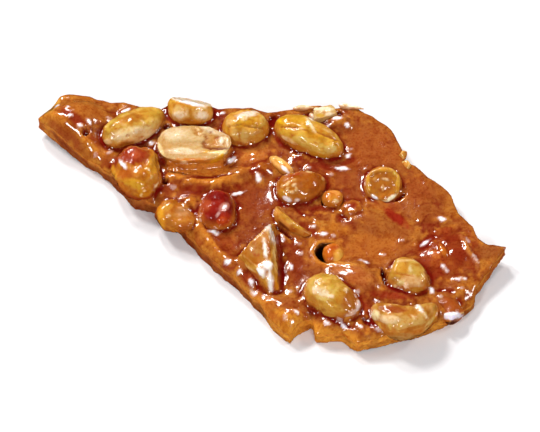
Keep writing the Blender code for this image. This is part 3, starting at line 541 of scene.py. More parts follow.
class Wire:
    """A socket of a material's nodes, so that shader maths is written as sums."""

    def __init__(self, tree, socket):
        self.tree = tree
        self.socket = socket

    def node(self, kind, settings, sockets, output=0):
        made = self.tree.nodes.new(kind)
        for key, value in settings.items():
            setattr(made, key, value)
        for key, value in sockets.items():
            if isinstance(value, Wire):
                self.tree.links.new(value.socket, made.inputs[key])
            else:
                made.inputs[key].default_value = value
        return Wire(self.tree, made.outputs[output])

    def maths(self, operation, first, second):
        return self.node("ShaderNodeMath", {"operation": operation}, {0: first, 1: second})

    def __sub__(self, other):
        return self.maths("SUBTRACT", self, other)

    def __rsub__(self, other):
        return self.maths("SUBTRACT", other, self)

    def __mul__(self, other):
        return self.maths("MULTIPLY", self, other)

    def __rmul__(self, other):
        return self.maths("MULTIPLY", other, self)

    def between(self, low, high):
        """0 below low, 1 above high, and smooth between them."""
        return self.node(
            "ShaderNodeMapRange", {"interpolation_type": "SMOOTHSTEP"},
            {"Value": self, "From Min": low, "From Max": high},
        )

    def noise(self, size, detail=2.0, distortion=0.0):
        """Cloudy noise over this place, its lumps about that many millimetres across."""
        return self.node(
            "ShaderNodeTexNoise", {},
            {"Vector": self, "Scale": 1.0 / (size * MM), "Detail": detail, "Distortion": distortion},
        )

    def stained(self, share, colour):
        """This colour, darkened by that stain where the share is 1."""
        blend = {"data_type": "RGBA", "blend_type": "MULTIPLY"}
        return self.node("ShaderNodeMix", blend, {0: share, 6: self, 7: colour}, 2)

    def attribute(self, name, output):
        return self.node("ShaderNodeAttribute", {"attribute_name": name}, {}, output)


def feed(wire, shader, socket):
    wire.tree.links.new(wire.socket, shader.inputs[socket])


def new_finish(name):
    """A material with only its Principled shader, and a wire that holds the place on the piece."""
    material = bpy.data.materials.new(name)
    material.use_nodes = True
    tree = material.node_tree
    shader = tree.nodes["Principled BSDF"]
    return material, shader, Wire(tree, tree.nodes.new("ShaderNodeTexCoord").outputs["Object"])


WET_ROUGHNESS = 0.14
GRAIN_RELIEF = 0.3
SCATTER_REACH = 1.2
AMBER_SCATTER = (1.0, 0.45, 0.15)
GLAZE_IOR = 1.62


def glazed_finish(name, grain, stain, grit, roughness, coat, scatter):
    """Painted tone with a stained grain of that size, a fine grit and a clear coat, smoother where it is wet.

    The stain leaves the palest marks clean.
    """
    material, shader, place = new_finish(name)
    painted = place.attribute("tone", 0)
    taken = 1.0 - painted.node("ShaderNodeSeparateColor", {}, {0: painted}, 2).between(0.4, 0.8)
    blotch = place.noise(grain * 4.0, 3.0, 0.6).between(0.42, 0.68)
    speck = place.noise(grain, 3.0).between(0.45, 0.72)
    colour = painted.stained(0.7 * blotch * taken, stain).stained(0.8 * speck * taken, stain)
    feed(colour, shader, "Base Color")
    wet = place.attribute("wet", 2)
    feed(roughness - (roughness - WET_ROUGHNESS) * wet, shader, "Roughness")
    feed(coat * wet, shader, "Coat Weight")
    relief = {"Strength": grit, "Distance": GRAIN_RELIEF * MM, "Height": place.noise(grain, 3.0)}
    bump = place.node("ShaderNodeBump", {}, relief)
    feed(bump, shader, "Normal")
    shader.inputs["Subsurface Weight"].default_value = scatter
    shader.inputs["Subsurface Radius"].default_value = AMBER_SCATTER
    shader.inputs["Subsurface Scale"].default_value = SCATTER_REACH * MM
    shader.inputs["Specular IOR Level"].default_value = 0.1
    shader.inputs["Coat Roughness"].default_value = 0.1
    shader.inputs["Coat IOR"].default_value = GLAZE_IOR
    return material


TOASTED_STAIN = (0.86, 0.64, 0.40, 1.0)
PALE_STAIN = (0.88, 0.74, 0.54, 1.0)
nut_glazed = glazed_finish("glazed_nut", 0.7, TOASTED_STAIN, 0.3, 0.34, 0.9, 0.2)
nut_bare = glazed_finish("bare_nut", 0.5, PALE_STAIN, 0.35, 0.45, 0.3, 0.25)
BARE = ("pale_half", "rim_chunk", "rim_broken")

nuts = []
for node, setting in KERNELS.items():
    kind = node.removeprefix("kernel_")
    finish = nut_bare if kind in BARE else nut_glazed
    piece, world = kernel_piece("nut_" + kind, setting, NUT_TONES[kind], KERNEL_MARKS[kind], finish)
    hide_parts(node)
    nuts.append((piece, world, setting[4]))

# The poured sheet.
# Sugar boiled to a hard amber caramel, poured over a slab, pulled thin while it cooled and then snapped, so
# its underside is flat, its top flows up over the nuts, and its rim is a row of glassy breaks.

POUR = 4.4
TIP_POUR = 2.9
TIP_START, TIP_END = 26.0, 50.0
BLANK = 4.0
GRAIN = 0.3
CHIP = 0.55
CHIP_SPACING = 1.7
WAVE = 0.45
WAVE_LENGTH = 17.0
RIM = (
    (49.8, -8.2), (45.6, -7.2), (43.8, -5.4), (42.8, -2.2), (39.4, 3), (37.8, 7), (33.6, 10.5),
    (30.9, 13.5), (28.8, 14.4), (28.3, 17.5), (26, 23), (22, 26.5), (17.4, 29.2), (13.8, 28.6), (9, 29.6),
    (3, 28.2), (-0.5, 27.6), (-4, 29), (-11, 28.6), (-18, 30.6), (-21.5, 29.8), (-23.5, 28.4), (-27, 29),
    (-31.4, 30.6), (-34.2, 30.4), (-38.6, 31.8), (-42.2, 32), (-45.2, 31), (-46.9, 28.4), (-49.8, 25.3),
    (-46.5, 22.2), (-40.5, 16.9), (-36.5, 14.2), (-33, 10.2), (-28.8, 4.8), (-24.6, 3.8), (-21.6, 1.4),
    (-18.6, -2.4), (-12, -11.2), (-8.4, -14.6), (-4.4, -19), (1.6, -27.6), (4.2, -29.8), (6.2, -27.4),
    (8.8, -25.8), (9.4, -29.4), (15.2, -29.4), (18, -32), (24, -30.6), (31, -28.2), (37.4, -24.9),
    (41.2, -22.4), (42.8, -20.4), (43.2, -17.6), (48.6, -9.8),
)

# Kernels and lumps under the skin: middle, length, width, top and heading.
SWELLS = (
    ((-40.9, 24.8), 13, 9.6, 7.6, 12),
    ((18.4, -16), 12, 7.4, 6.5, -30),
    ((4.8, -26), 8.4, 5.8, 6.2, -24),
    ((37.6, -9.6), 11, 8.4, 5.4, 24),
    ((20.8, -0.8), 11, 8, 5.6, -35),
    ((-1.8, 11.8), 6, 5.2, 5.9, 35),
    ((-6.4, -13.6), 9.6, 4.8, 5.8, -46),
    ((14.8, 24.4), 6, 4.4, 5.8, 0),
    ((-16.9, 2.8), 5.6, 4.6, 6.3, 0),
    ((39.4, -18.8), 7, 5, 4.9, 40),
    ((31.6, 2.6), 9, 6.4, 4.7, -50),
    ((-38.6, 19.6), 6.4, 4.6, 5.7, -40),
)
FOLDS = (
    ((-20.6, 9.6), (-12, 7.6), 2.4, 1.3),
    ((-12, 7.6), (-5.6, 11), 2.4, 1.5),
    ((-16.6, -1.6), (-10.4, -10.8), 2.4, 1.2),
    ((-3, -22), (7.6, -22.4), 2.6, 0.8),
    ((-47, 25), (-36, 15.6), 2.4, 0.8),
    ((24.6, -31), (40.6, -22.6), 2.6, 0.6),
)
BLISTER = (12.0, -9.4)
BLISTER_RADIUS = 2.6
BLISTER_DEPTH = 3.8
MOUND = 0.4
MOUND_SPREAD = 110
FILM = 0.25
FILM_DROP = 1.5
CREASE = 0.3
BRIGHT_FILM = ((-15.4, 12.2), 14.0, 3.6, -3)
RIM_SLOPE = 1.0

# Lumps and ripples on which the light catches: middle, length, width, turn and rise. The taller ones also get
# a painted glint on their crests.
LUMPS = (
    (-45.6, 27.4, 1.4, 3, -14, 0.45), (-43.4, 26.2, 2.2, 1.2, -30, 0.42),
    (-38.7, 22.9, 2.6, 1.8, -40, 0.42), (-40.3, 21.6, 2, 1.6, 0, 0.42), (-42.6, 23.6, 1.8, 1.2, 30, 0.42),
    (-34.3, 25.4, 2.2, 1.7, 0, 0.35), (-31, 27.8, 3.6, 1.4, 25, 0.42), (-36.8, 16, 2, 1.8, 0, 0.35),
    (-38.8, 18.4, 1.8, 1.6, 0, 0.3), (-34, 16.6, 2.4, 1.6, 30, 0.35), (-25.2, 19, 2.6, 2, 30, 0.45),
    (-8.2, 14.3, 3.8, 1.8, 50, 0.6), (-15.9, 10.6, 2, 1.6, 0, 0.3), (-16.5, 8.4, 2, 1.6, 0, 0.3),
    (-6.6, 5.8, 5.4, 1.3, 20, 0.4), (-5.5, 1.9, 1.6, 1.6, 0, 0.3), (-11.6, -4.7, 4.4, 1.7, -10, 0.45),
    (-14.4, -1.7, 1.8, 1.6, 0, 0.35), (-10, 27.1, 2, 1.7, 0, 0.4), (14.6, 24.7, 4, 1.9, 10, 0.45),
    (12.8, 23.3, 2.8, 1.6, 30, 0.4), (16.4, 23.4, 2.4, 1.7, -30, 0.4), (15.4, 12.4, 5.4, 1.9, -4, 0.45),
    (16.6, 15.6, 3.2, 1.7, 50, 0.45), (17.2, 17.4, 1.8, 1.4, 0, 0.35), (13, 10.8, 1.9, 1.6, 0, 0.35),
    (6.5, 15.2, 3.2, 1.8, 0, 0.3), (-2.4, 9.4, 3.2, 2.2, -60, 0.5), (0.9, 8.3, 1.9, 1.9, 0, 0.4),
    (8.3, 12.4, 1.9, 1.5, 0, 0.35), (36.2, -0.7, 3.4, 2.3, -10, 0.5), (32.6, -6.7, 4.4, 1.4, 42, 0.45),
    (28, -6.3, 1.7, 1.7, 0, 0.35), (9.2, -2.8, 2, 1.7, 60, 0.4), (11.2, -4.7, 3.2, 1.7, 0, 0.4),
    (13.3, -5.2, 1.6, 1.9, 0, 0.35), (6.1, -7.3, 1.8, 1.8, 0, 0.35), (6.5, -9.6, 1.8, 1.8, 0, 0.35),
    (2.7, -5.9, 3.8, 1.4, 100, 0.4), (-8.9, -12.3, 3.2, 2, -40, 0.5), (-6.6, -14.9, 2.2, 1.9, -40, 0.45),
    (-3.8, -17.4, 2.6, 2, -60, 0.5), (-3.6, -19.2, 5.6, 1.5, -52, 0.4), (3.1, -26.6, 2.6, 1.5, 100, 0.35),
    (5.4, -25.4, 3, 1.5, -30, 0.4), (4.2, -19.4, 1.8, 1.8, 0, 0.35), (6.9, -21.5, 1.9, 1.9, 0, 0.35),
    (4.4, -13, 3.4, 1.4, 96, 0.4), (19.9, -12, 4.6, 1.6, -22, 0.4), (23.9, -9.9, 1.8, 1.6, 0, 0.35),
    (36.4, -13.3, 4.2, 1.5, -62, 0.45), (39.7, -15.8, 3.6, 1.8, 0, 0.45), (40.1, -18.4, 2, 1.5, -20, 0.35),
    (33.6, -19, 3, 1.8, 100, 0.45), (35.6, -20.4, 1.6, 1.6, 0, 0.35), (17.6, -25.2, 5, 1.6, 55, 0.45),
    (14.2, -26.8, 1.8, 1.6, 0, 0.35), (18.2, -20, 1.8, 1.6, 0, 0.35), (31.6, -1.5, 1.6, 1.4, 0, 0.3),
    (22.6, -22.2, 3, 0.9, -50, 0.4), (15.4, -28.2, 4, 1.2, -50, 0.4), (18.8, -28.8, 3, 1.2, -60, 0.4),
    (12, -27.6, 2.6, 1.3, -30, 0.4), (22.4, -29.6, 3, 1.3, -20, 0.35), (-20.4, 7.2, 2.6, 1.4, -20, 0.35),
    (-25.6, 6, 2.8, 1.2, -30, 0.35), (41.6, -6.6, 4.2, 1.1, -70, 0.35), (43, -11, 4, 1.1, -60, 0.35),
    (33.4, 8, 3, 1.4, -50, 0.3), (21, 12.4, 2.4, 1.6, 0, 0.2), (-33.6, 28.8, 3, 1.3, 20, 0.3),
)
RNG = np.random.default_rng(7)
CRUMB_LUMPS = 240
CRUMB_RADII = (0.6, 1.5)
CRUMB_RISES = (0.05, 0.24)
NO_NUT = -99.0
ABOVE_ALL = 30.0
SMOOTH_PLACES = (
    (22, 17, 9), (24, -6, 7), (-2, 3, 6), (-11, -6, 3.5), (32, 4, 6.5), (6, -15, 4),
)

# Gaps, cracks and darker or paler pools: middle, length, width, colour, strength, turn and rise.
SUGAR = (164, 91, 38)
# A near black painted as shadow in gaps, cracks and the burst blister.
PAINTED_SHADOW_BLACK = (34, 10, 5)
BLOOD = (132, 36, 16)
# Among the pools, the near black gaps and cracks and the darkest red ones with a sunken rise are painted
# shadow, and the pale stripe along the lobe's left rim is a painted highlight.
POOLS = (
    (-5, 16.4, 10, 6, (208, 128, 54), 0.8, 10), (8, 8.6, 10, 7, (184, 100, 42), 0.7, 20),
    (-22.4, 6.6, 6, 4.6, (140, 56, 26), 0.7, -30), (16.6, -22.6, 6, 6, (196, 118, 46), 0.7),
    (-1.6, -21.8, 6, 8, (204, 124, 46), 0.7, -50), (22, 17, 15, 13, (164, 80, 32), 0.5),
    (-3, 4, 11, 9, (136, 50, 22), 0.7), (-9, -8, 9, 6, (150, 62, 26), 0.6, -50),
    (31, 7, 9, 8, (160, 76, 32), 0.5), (5.5, -12, 3.6, 14, (134, 48, 20), 0.8, 5),
    (3.4, -27, 9, 6, (216, 142, 44), 0.85, -24), (22, -8, 13, 8, (188, 108, 38), 0.6),
    (14, -3.6, 7, 4, HONEY, 0.6), (-1.8, 11.8, 5.6, 4.6, BLOOD, 0.95, 35),
    (37, -9, 15, 12, (158, 66, 26), 0.85, 20), (38, -6.6, 4.4, 4.6, BLOOD, 0.75, 20, 0.35),
    (39.4, -10.4, 3.6, 5, BLOOD, 0.8, 10, 0.2), (36.2, -9, 1.4, 4.4, (190, 98, 36), 0.8, 20, 0.4),
    (36.4, -3.6, 4.6, 1.6, (158, 66, 28), 0.8, 20, 0.2), (32.8, -6.6, 2.6, 5.6, BLOOD, 0.9, -38, -0.2),
    (34.6, -10.2, 3, 2, (196, 106, 38), 0.8, -50, 0.1), (41, -7.6, 1.2, 7, (188, 112, 62), 0.8, 18, 0.3),
    (34.6, -14.6, 4, 3, BLOOD, 0.7, 40), (31.4, -12.4, 5, 4, (150, 56, 28), 0.7),
    (26.6, -0.4, 7.6, 2.6, (150, 40, 20), 1, -44, 0.12), (17.2, 2, 4.6, 4.4, (140, 38, 18), 0.9, 0, 0.7),
    (11.4, 3.9, 2.8, 1, PAINTED_SHADOW_BLACK, 1, 80, -1.4), (15.6, -0.2, 3, 0.8, PAINTED_SHADOW_BLACK, 0.7, -40, -0.6),
    (20.4, -3.6, 9, 1.2, (150, 78, 38), 0.4, -34, -0.05), (23.8, -15.4, 4.4, 1.2, PAINTED_SHADOW_BLACK, 1, 100, -1.8),
    (-22.3, 8.8, 1.8, 1.4, PAINTED_SHADOW_BLACK, 1, -20, -1.8), (-39.3, 20.6, 1.8, 1.4, PAINTED_SHADOW_BLACK, 1, 60, -1.4),
    (-22.9, 14.4, 6, 1, (90, 24, 12), 0.7, -58, -0.7), (-19.4, 10.9, 4.4, 0.9, PAINTED_SHADOW_BLACK, 0.9, -16, -1),
    (-22, 23.4, 2, 1.6, PAINTED_SHADOW_BLACK, 0.9, 0, -1.4), (3, -4.2, 4.8, 1, PAINTED_SHADOW_BLACK, 0.9, -43, -1.2),
    (27.4, 4.9, 3, 1, PAINTED_SHADOW_BLACK, 0.9, 40, -1.2), (20.4, -27.4, 2.8, 1.6, (90, 24, 14), 0.9, -40, -0.9),
    (14.8, -27.6, 6, 1.2, BLOOD, 0.8, -24, -0.35), (20, -24.6, 7, 2.4, (150, 54, 26), 0.7, -60),
    (-9, -12.6, 5, 2.2, (146, 48, 28), 0.9, -42), (-5.2, -16.4, 4.6, 2.2, (150, 50, 28), 0.9, -50),
    (4.4, -25.4, 4.4, 1.4, (160, 58, 26), 0.8, -16), (2.4, -29.6, 2.2, 2.2, (158, 68, 26), 0.8),
    (7.4, -26.6, 1.2, 4, (156, 58, 26), 0.7, 10), (1, -25.6, 1.2, 4.6, (160, 66, 28), 0.6, 40),
    (16.4, 14.2, 5, 1.6, BLOOD, 0.8, 30), (11, 12, 7, 1.8, (150, 54, 28), 0.5, -8),
    (17.4, -15.8, 9.6, 5.4, (188, 110, 54), 0.9, -30), (15.6, -13, 7, 1.6, (210, 146, 74), 0.7, -14, 0.25),
    (-40.6, 26, 12, 8.4, (184, 108, 40), 0.85, 12), (-41.6, 22.6, 8.6, 4, (140, 42, 20), 0.9, -32),
    (-43.6, 25, 4, 2.6, (148, 52, 24), 0.7, -50), (-37, 19, 6, 2.6, (146, 54, 24), 0.8, -38),
    (-33.6, 16.4, 7, 2.4, (206, 132, 44), 0.8, -38), (-46.8, 27, 2.6, 7, (230, 172, 70), 0.9, -24),
    (-41.6, 30.4, 8, 1.8, (202, 130, 46), 0.8, 6), (-29, 17.6, 5, 2, (150, 56, 28), 0.7, 10),
    (-12.6, 8.2, 14, 1.6, (206, 130, 46), 0.8, 6), (-13, 9.8, 12, 1, (130, 52, 24), 0.7, 6, -0.3),
    (-13.2, -5.6, 11, 1, (204, 128, 44), 0.8, -58), (-11.2, 27.4, 4.4, 4.4, BLOOD, 0.95),
    (-22.8, 27.6, 4, 3.4, BLOOD, 0.85), (-14.6, 1, 3, 3.6, (190, 106, 66), 0.8, 0, 0.2),
    (1, 24.6, 3, 3, (70, 24, 14), 0.7, 0, -0.6), (42, -9.6, 1.2, 8, (170, 100, 70), 0.6, 25, 0.2),
    (9.4, -28.6, 3.4, 4, (214, 140, 46), 0.8), (14, -30.2, 10, 3.4, (214, 140, 46), 0.8, -14),
    (46, -9, 9, 5, (148, 78, 32), 0.8, 10), (18, 8.4, 13, 9, (146, 66, 30), 0.6),
    (-3.4, -3.4, 9, 7, (140, 58, 28), 0.7, -20), (-27.6, 5.8, 9, 3, (144, 52, 24), 0.7, -40),
    (-43.6, 20.6, 9, 2.2, (156, 66, 28), 0.7, -40), (-14.4, -8, 8, 2, (158, 66, 28), 0.6, -52),
    (-4, -21, 8, 2, (168, 80, 32), 0.6, -54), (-11, -14, 9, 3, (150, 62, 28), 0.6, -48),
    (-26, 17.6, 5, 2.4, (204, 118, 46), 0.8), (-34, 13.6, 9, 5, (150, 66, 26), 0.7, -38),
    (12.6, -11.4, 9, 4.6, (198, 122, 46), 0.7), (8.4, 26.6, 2.6, 1.4, (110, 36, 14), 0.8, 0, -0.5),
    (14.9, 26.8, 1.4, 1.8, (90, 24, 12), 0.9, 0, -0.8), (25, 2.6, 8, 3.4, (160, 66, 28), 0.4),
    (1.6, 25.6, 4, 4, BLOOD, 0.8), (13, 12.6, 7, 1.6, BLOOD, 0.8, -6),
    (-7.4, 15.6, 5, 2.2, (146, 52, 24), 0.7, 40), (-15.6, 7.2, 8, 1.6, BLOOD, 0.7),
    (-7.2, 0.4, 2, 7, (120, 36, 18), 0.8, -10), (8, -3.6, 6, 2.2, (140, 44, 20), 0.8, -44),
    (24.6, -20.4, 9, 2, (150, 52, 24), 0.8, -6), (20.6, -28, 5, 2, BLOOD, 0.7, -40),
)


def fold_rise(x, y, start, end, width, rise):
    run = np.subtract(end, start)
    share = np.clip(((x - start[0]) * run[0] + (y - start[1]) * run[1]) / (run @ run), 0.0, 1.0)
    distance = np.hypot(x - start[0] - run[0] * share, y - start[1] - run[1] * share)
    return rise * (1.0 - ease(0.0, width, distance))


def chipped_rim():
    points = []
    for here, after in zip(RIM, RIM[1:] + RIM[:1]):
        start, end = Vector(here), Vector(after)
        run = end - start
        inward = Vector((-run.y, run.x)).normalized()
        steps = max(1, round(run.length / CHIP_SPACING))
        points.append(start)
        for step in range(1, steps):
            point = start + run * (step / steps)
            bite = noise.noise((point.x * 0.9, point.y * 0.9, 3.0))
            points.append(point + inward * (CHIP * bite))
    return points


def rim_distance(x, y, rim):
    """How far each place lies from the nearest stretch of the rim."""
    nearest = np.full(len(x), 1e9)
    for here, after in zip(rim, rim[1:] + rim[:1]):
        run = np.array(after - here)
        share = np.clip(((x - here.x) * run[0] + (y - here.y) * run[1]) / (run @ run), 0.0, 1.0)
        nearest = np.minimum(nearest, np.hypot(x - here.x - run[0] * share, y - here.y - run[1] * share))
    return nearest


def remeshed(mesh, grain):
    """The same solid in even quads of one size."""
    blank = linked("blank", mesh)
    remesh = blank.modifiers.new("even", "REMESH")
    remesh.mode = "VOXEL"
    remesh.voxel_size = grain
    even = bpy.data.meshes.new_from_object(blank.evaluated_get(bpy.context.evaluated_depsgraph_get()))
    bpy.data.objects.remove(blank)
    return even


def smoothed(mesh, values, rounds):
    """The values spread over the mesh, each time to the mean of a point's neighbours."""
    ends = np.empty(len(mesh.edges) * 2, np.int32)
    mesh.edges.foreach_get("vertices", ends)
    a, b = ends[0::2], ends[1::2]
    count = np.bincount(ends, minlength=len(values))
    for _ in range(rounds):
        values = (np.bincount(a, values[b], len(values)) + np.bincount(b, values[a], len(values))) / count
    return values


def nut_heights(x, y):
    """Top of the kernel over each place, or far below where there is none, and how high film climbs it."""
    top = np.full(len(x), NO_NUT)
    climb = np.zeros(len(x))
    for piece, world, height in nuts:
        tree = BVHTree.FromPolygons(world.tolist(), [tuple(face.vertices) for face in piece.data.polygons])
        low, high = world.min(axis=0), world.max(axis=0)
        near = (x > low[0]) & (x < high[0]) & (y > low[1]) & (y < high[1])
        for index in np.flatnonzero(near):
            hit = tree.ray_cast((x[index], y[index], ABOVE_ALL), (0.0, 0.0, -1.0))[0]
            if hit is not None and hit.z > top[index]:
                top[index], climb[index] = hit.z, height
    return top, climb


def crumb_lumps(x, y):
    """Crumbs of nut and bubbles just under the skin, absent in the smooth places."""
    rise = np.zeros(len(x))
    for _ in range(CRUMB_LUMPS):
        cx, cy = RNG.uniform(-48, 48), RNG.uniform(-31, 31)
        radius, height = RNG.uniform(*CRUMB_RADII), RNG.uniform(*CRUMB_RISES)
        if any(math.hypot(cx - place[0], cy - place[1]) < reach for *place, reach in SMOOTH_PLACES):
            continue
        near = np.hypot(x - cx, y - cy) / radius
        rise = np.maximum(rise, height * (1.0 - ease(0.0, 1.0, near)))
    return rise


bm = bmesh.new()
rim = chipped_rim()
base = bm.faces.new([bm.verts.new((point.x, point.y, 0.0)) for point in rim])
raised = bmesh.ops.extrude_face_region(bm, geom=[base])["geom"]
bmesh.ops.translate(bm, verts=[v for v in raised if isinstance(v, bmesh.types.BMVert)], vec=(0, 0, BLANK))
bmesh.ops.recalc_face_normals(bm, faces=bm.faces)
sheet_mesh = remeshed(grown_mesh(bm, "blank"), GRAIN)
sheet_mesh.name = "caramel"
co = read_vectors(sheet_mesh.vertices, "co")
normal = read_vectors(sheet_mesh.vertices, "normal")
x, y, share = co[:, 0].copy(), co[:, 1].copy(), np.clip(co[:, 2] / BLANK, 0.0, 1.0)
flat = np.column_stack((x, y, np.zeros(len(x))))
inland = rim_distance(x, y, rim)
coarse, middling, fine = clouds(flat, 6.0, 11.0), clouds(flat, 2.2, 5.0), clouds(flat, 0.9, 2.0)
lift = curl(x, y)

# The sheet pours to one level, folds and swells, and climbs the kernels as a film that thins out upwards.
top = POUR + (TIP_POUR - POUR) * ease(TIP_START, TIP_END, x)
top = top + WAVE * clouds(flat, WAVE_LENGTH, 7.0 / WAVE_LENGTH)
top += np.max([fold_rise(x, y, *fold) for fold in FOLDS], axis=0)
for middle, length, width, height, heading in SWELLS:
    reach = oval_reach(x, y, middle, length, width, heading)
    top += (height - POUR) * np.clip(1.0 - reach / 1.3, 0.0, 1.0) ** 1.1
top = smoothed(sheet_mesh, top, 8)
nut_top, climb = nut_heights(x, y)
over = nut_top - lift
beside = smoothed(sheet_mesh, ease(4.8, 5.4, over), MOUND_SPREAD)
top += MOUND * ease(0.02, 0.6, beside) * (0.8 + 0.6 * coarse)
film = over + FILM - FILM_DROP * ease(-1.0, 0.9, over + 1.1 * middling + 0.8 * coarse - climb)
bare_level = top.copy()
top = fuse(top, film, 0.8)
top = smoothed(sheet_mesh, top, 2)
edge = smoothed(sheet_mesh, (nut_top > 0.0).astype(float), 4)
crease = 4.0 * edge * (1.0 - edge) * ease(-0.2, 0.35, middling + 0.5 * coarse)
top -= CREASE * crease
rise = crumb_lumps(x, y) + 0.16 * coarse + 0.09 * middling + 0.03 * fine
# White painted glints on the crests of the taller lumps.
painted_glint_share = np.zeros(len(x))
for lx, ly, length, width, turn, height in LUMPS:
    reach = oval_reach(x, y, (lx, ly), length, width, turn)
    core = 1.0 - ease(0.05, 0.42, reach + 0.4 * fine + 0.3 * middling)
    painted_glint_share = np.maximum(painted_glint_share, ease(0.3, 0.42, height) * core)
    rise = np.maximum(rise, rise * 0.5 + 0.62 * height * (1.0 - ease(0.0, 1.5, reach + 0.25 * fine)))

# Amber in clouds, darker where the sugar caught and paler over nuts; painted shade in the hollows, a painted
# glow on the thin rim.
upper = ease(0.35, 0.7, share)
vein = np.abs(clouds(flat, 3.0, 31.0) + 0.4 * middling)
busy = np.ones(len(x))
for a, b, reach in SMOOTH_PLACES:
    busy = np.minimum(busy, 1.0 - 0.8 * (1.0 - ease(0.5 * reach, 1.3 * reach, np.hypot(x - a, y - b))))
cloud, fleck = clouds(flat, 3.6, 21.0), clouds(flat, 1.4, 41.0)
colours = layered(
    np.tile(tone(*SUGAR), (len(x), 1)),
    ((140, 60, 28), busy * ease(-0.1, 0.45, coarse + 0.4 * middling)),
    ((190, 122, 46), 0.8 * busy * ease(0.0, 0.4, cloud + 0.4 * fine)),
    ((128, 38, 18), 0.75 * (1.0 - ease(0.02, 0.1, vein)) * ease(-0.2, 0.3, coarse)),
    ((212, 136, 48), 0.6 * busy * ease(0.12, 0.45, fleck)),
    ((124, 28, 12), 0.65 * busy * ease(0.12, 0.45, -fleck)),
    # A painted glow: paler along the thin rim.
    ((196, 122, 42), 0.6 * np.exp(-inland) * upper),
)
rise, colours = marked(x, y, POOLS, middling + 0.7 * fine, upper, rise, colours)
thin = ease(-0.2, 0.15, top - over) * ease(0.2, 1.0, over - bare_level)
bright = ease(1.4, 0.7, oval_reach(x, y, *BRIGHT_FILM))
shade = upper * (1.0 - 0.85 * bright)
# Honey where the film is thin over nuts, a brighter film under the pale half, and a dark red painted shade in
# the crease round each kernel.
colours = layered(
    colours,
    (HONEY, 0.75 * thin),
    ((230, 142, 50), 0.85 * bright * upper),
    ((116, 10, 6), 0.8 * crease * shade),
)
top += rise * ease(0.0, 1.2, inland)
near_hole = np.hypot(x - BLISTER[0], y - BLISTER[1]) + 0.25 * middling
top -= BLISTER_DEPTH * (1.0 - ease(0.7 * BLISTER_RADIUS, BLISTER_RADIUS, near_hole))
top += 0.1 * np.exp(-((near_hole - BLISTER_RADIUS - 0.5) / 0.5) ** 2)
near_side = 1.0 - ease(-19.0, -13.0, np.minimum(x + y, y + 4.0))
top -= 0.3 * np.exp(-((inland / 0.4) ** 2)) + RIM_SLOPE * near_side * np.exp(-((inland / 1.5) ** 2))
hollow = smoothed(sheet_mesh, top, 14) - top
# Painted shade, dark red, in the hollows away from the rim; a paler gold on the ridges as painted light;
# white painted glints on the lumps' crests; and a painted black shadow inside the burst blister.
colours = layered(
    colours,
    ((122, 14, 6), 0.92 * ease(0.02, 0.26, hollow) * shade * ease(0.2, 1.2, inland)),
    ((212, 138, 46), 0.6 * ease(0.06, 0.3, -hollow) * upper),
    (PAINTED_GLINT, 0.95 * np.clip(painted_glint_share, 0.0, 1.0) * upper),
    (PAINTED_SHADOW_BLACK, upper * (1.0 - ease(0.95 * BLISTER_RADIUS, 1.1 * BLISTER_RADIUS, near_hole))),
)

# The broken wall is scooped like glass, with paler and darker streaks and darker towards its foot; a painted
# glow lies along its thin top edge and lip, and painted shadow on its left stretch.
SCOOP_SIZE = 3.6
SCOOP_DEPTH = 0.4
WALL_DRAFT = 0.2
side = np.clip(1.0 - np.abs(normal[:, 2]), 0.0, 1.0)
scoop = np.zeros(len(x))
for index in np.flatnonzero(side > 0.05):
    cell = (x[index] / SCOOP_SIZE, y[index] / SCOOP_SIZE, share[index] * 2.2)
    scoop[index] = noise.voronoi(cell)[0][0]
spot = np.column_stack((x, y, share * 6.0))
belly = 0.2 * (1.0 - near_side) * np.sin(share * math.pi)
bite = SCOOP_DEPTH * (scoop - 0.45) + 0.1 * clouds(spot, 0.9, 2.0) - belly
outward = normal[:, :2] / np.maximum(np.hypot(normal[:, 0], normal[:, 1]), 1e-6)[:, None]
co[:, :2] += outward * (side * bite - WALL_DRAFT * side)[:, None]
co[:, 2] = share * top + lift
wall = ease(0.15, 0.5, side)
# A painted glow along the golden lip of the near rim.
lip = np.exp(-(((inland - 0.4) / 0.35) ** 2)) * near_side * upper
streaks = clouds(np.column_stack((x, y, share * 4.0)), 1.8, 8.0) + 0.9 * clouds(spot, 4.2, 4.0)
# Painted shadow on the left stretch of the near wall.
shaded = ease(-27.0, -21.0, y) * ease(24.0, 18.0, y) * near_side
colours = layered(
    colours,
    ((222, 154, 56), 0.55 * lip * ease(-0.3, 0.3, middling + 0.6 * coarse)),
    ((186, 100, 30), 0.9 * wall),
    ((232, 158, 52), 0.9 * wall * ease(-16.0, -24.0, y)),
    ((220, 146, 46), 0.6 * wall * ease(-0.1, 0.4, -streaks)),
    ((122, 46, 18), 0.4 * wall * ease(0.1, 0.6, streaks)),
    ((146, 62, 22), (0.4 - 0.25 * near_side) * wall * ease(0.5, 0.2, share)),
    ((134, 52, 22), 0.65 * wall * shaded * ease(0.9, 0.5, share)),
    # A painted glow along the wall's thin top.
    ((214, 132, 42), 0.8 * wall * ease(0.75, 1.0, share)),
)
place_points(sheet_mesh, co)
give_tones(sheet_mesh, colours, 1.0 - 0.9 * wall)
sheet_mesh.shade_smooth()
sheet = linked("caramel", sheet_mesh)
CARAMEL_STAIN = (0.72, 0.48, 0.34, 1.0)
sheet_mesh.materials.append(glazed_finish("set_caramel", 0.5, CARAMEL_STAIN, 0.2, 0.5, 0.9, 0.2))
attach(sheet, "root")
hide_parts("caramel_sheet")

# Small bits in and on the caramel.
# Broken bits of nut, a ball of amber in the burst blister and crumbs along the rim, held by the sugar, each a
# small rounded lump.

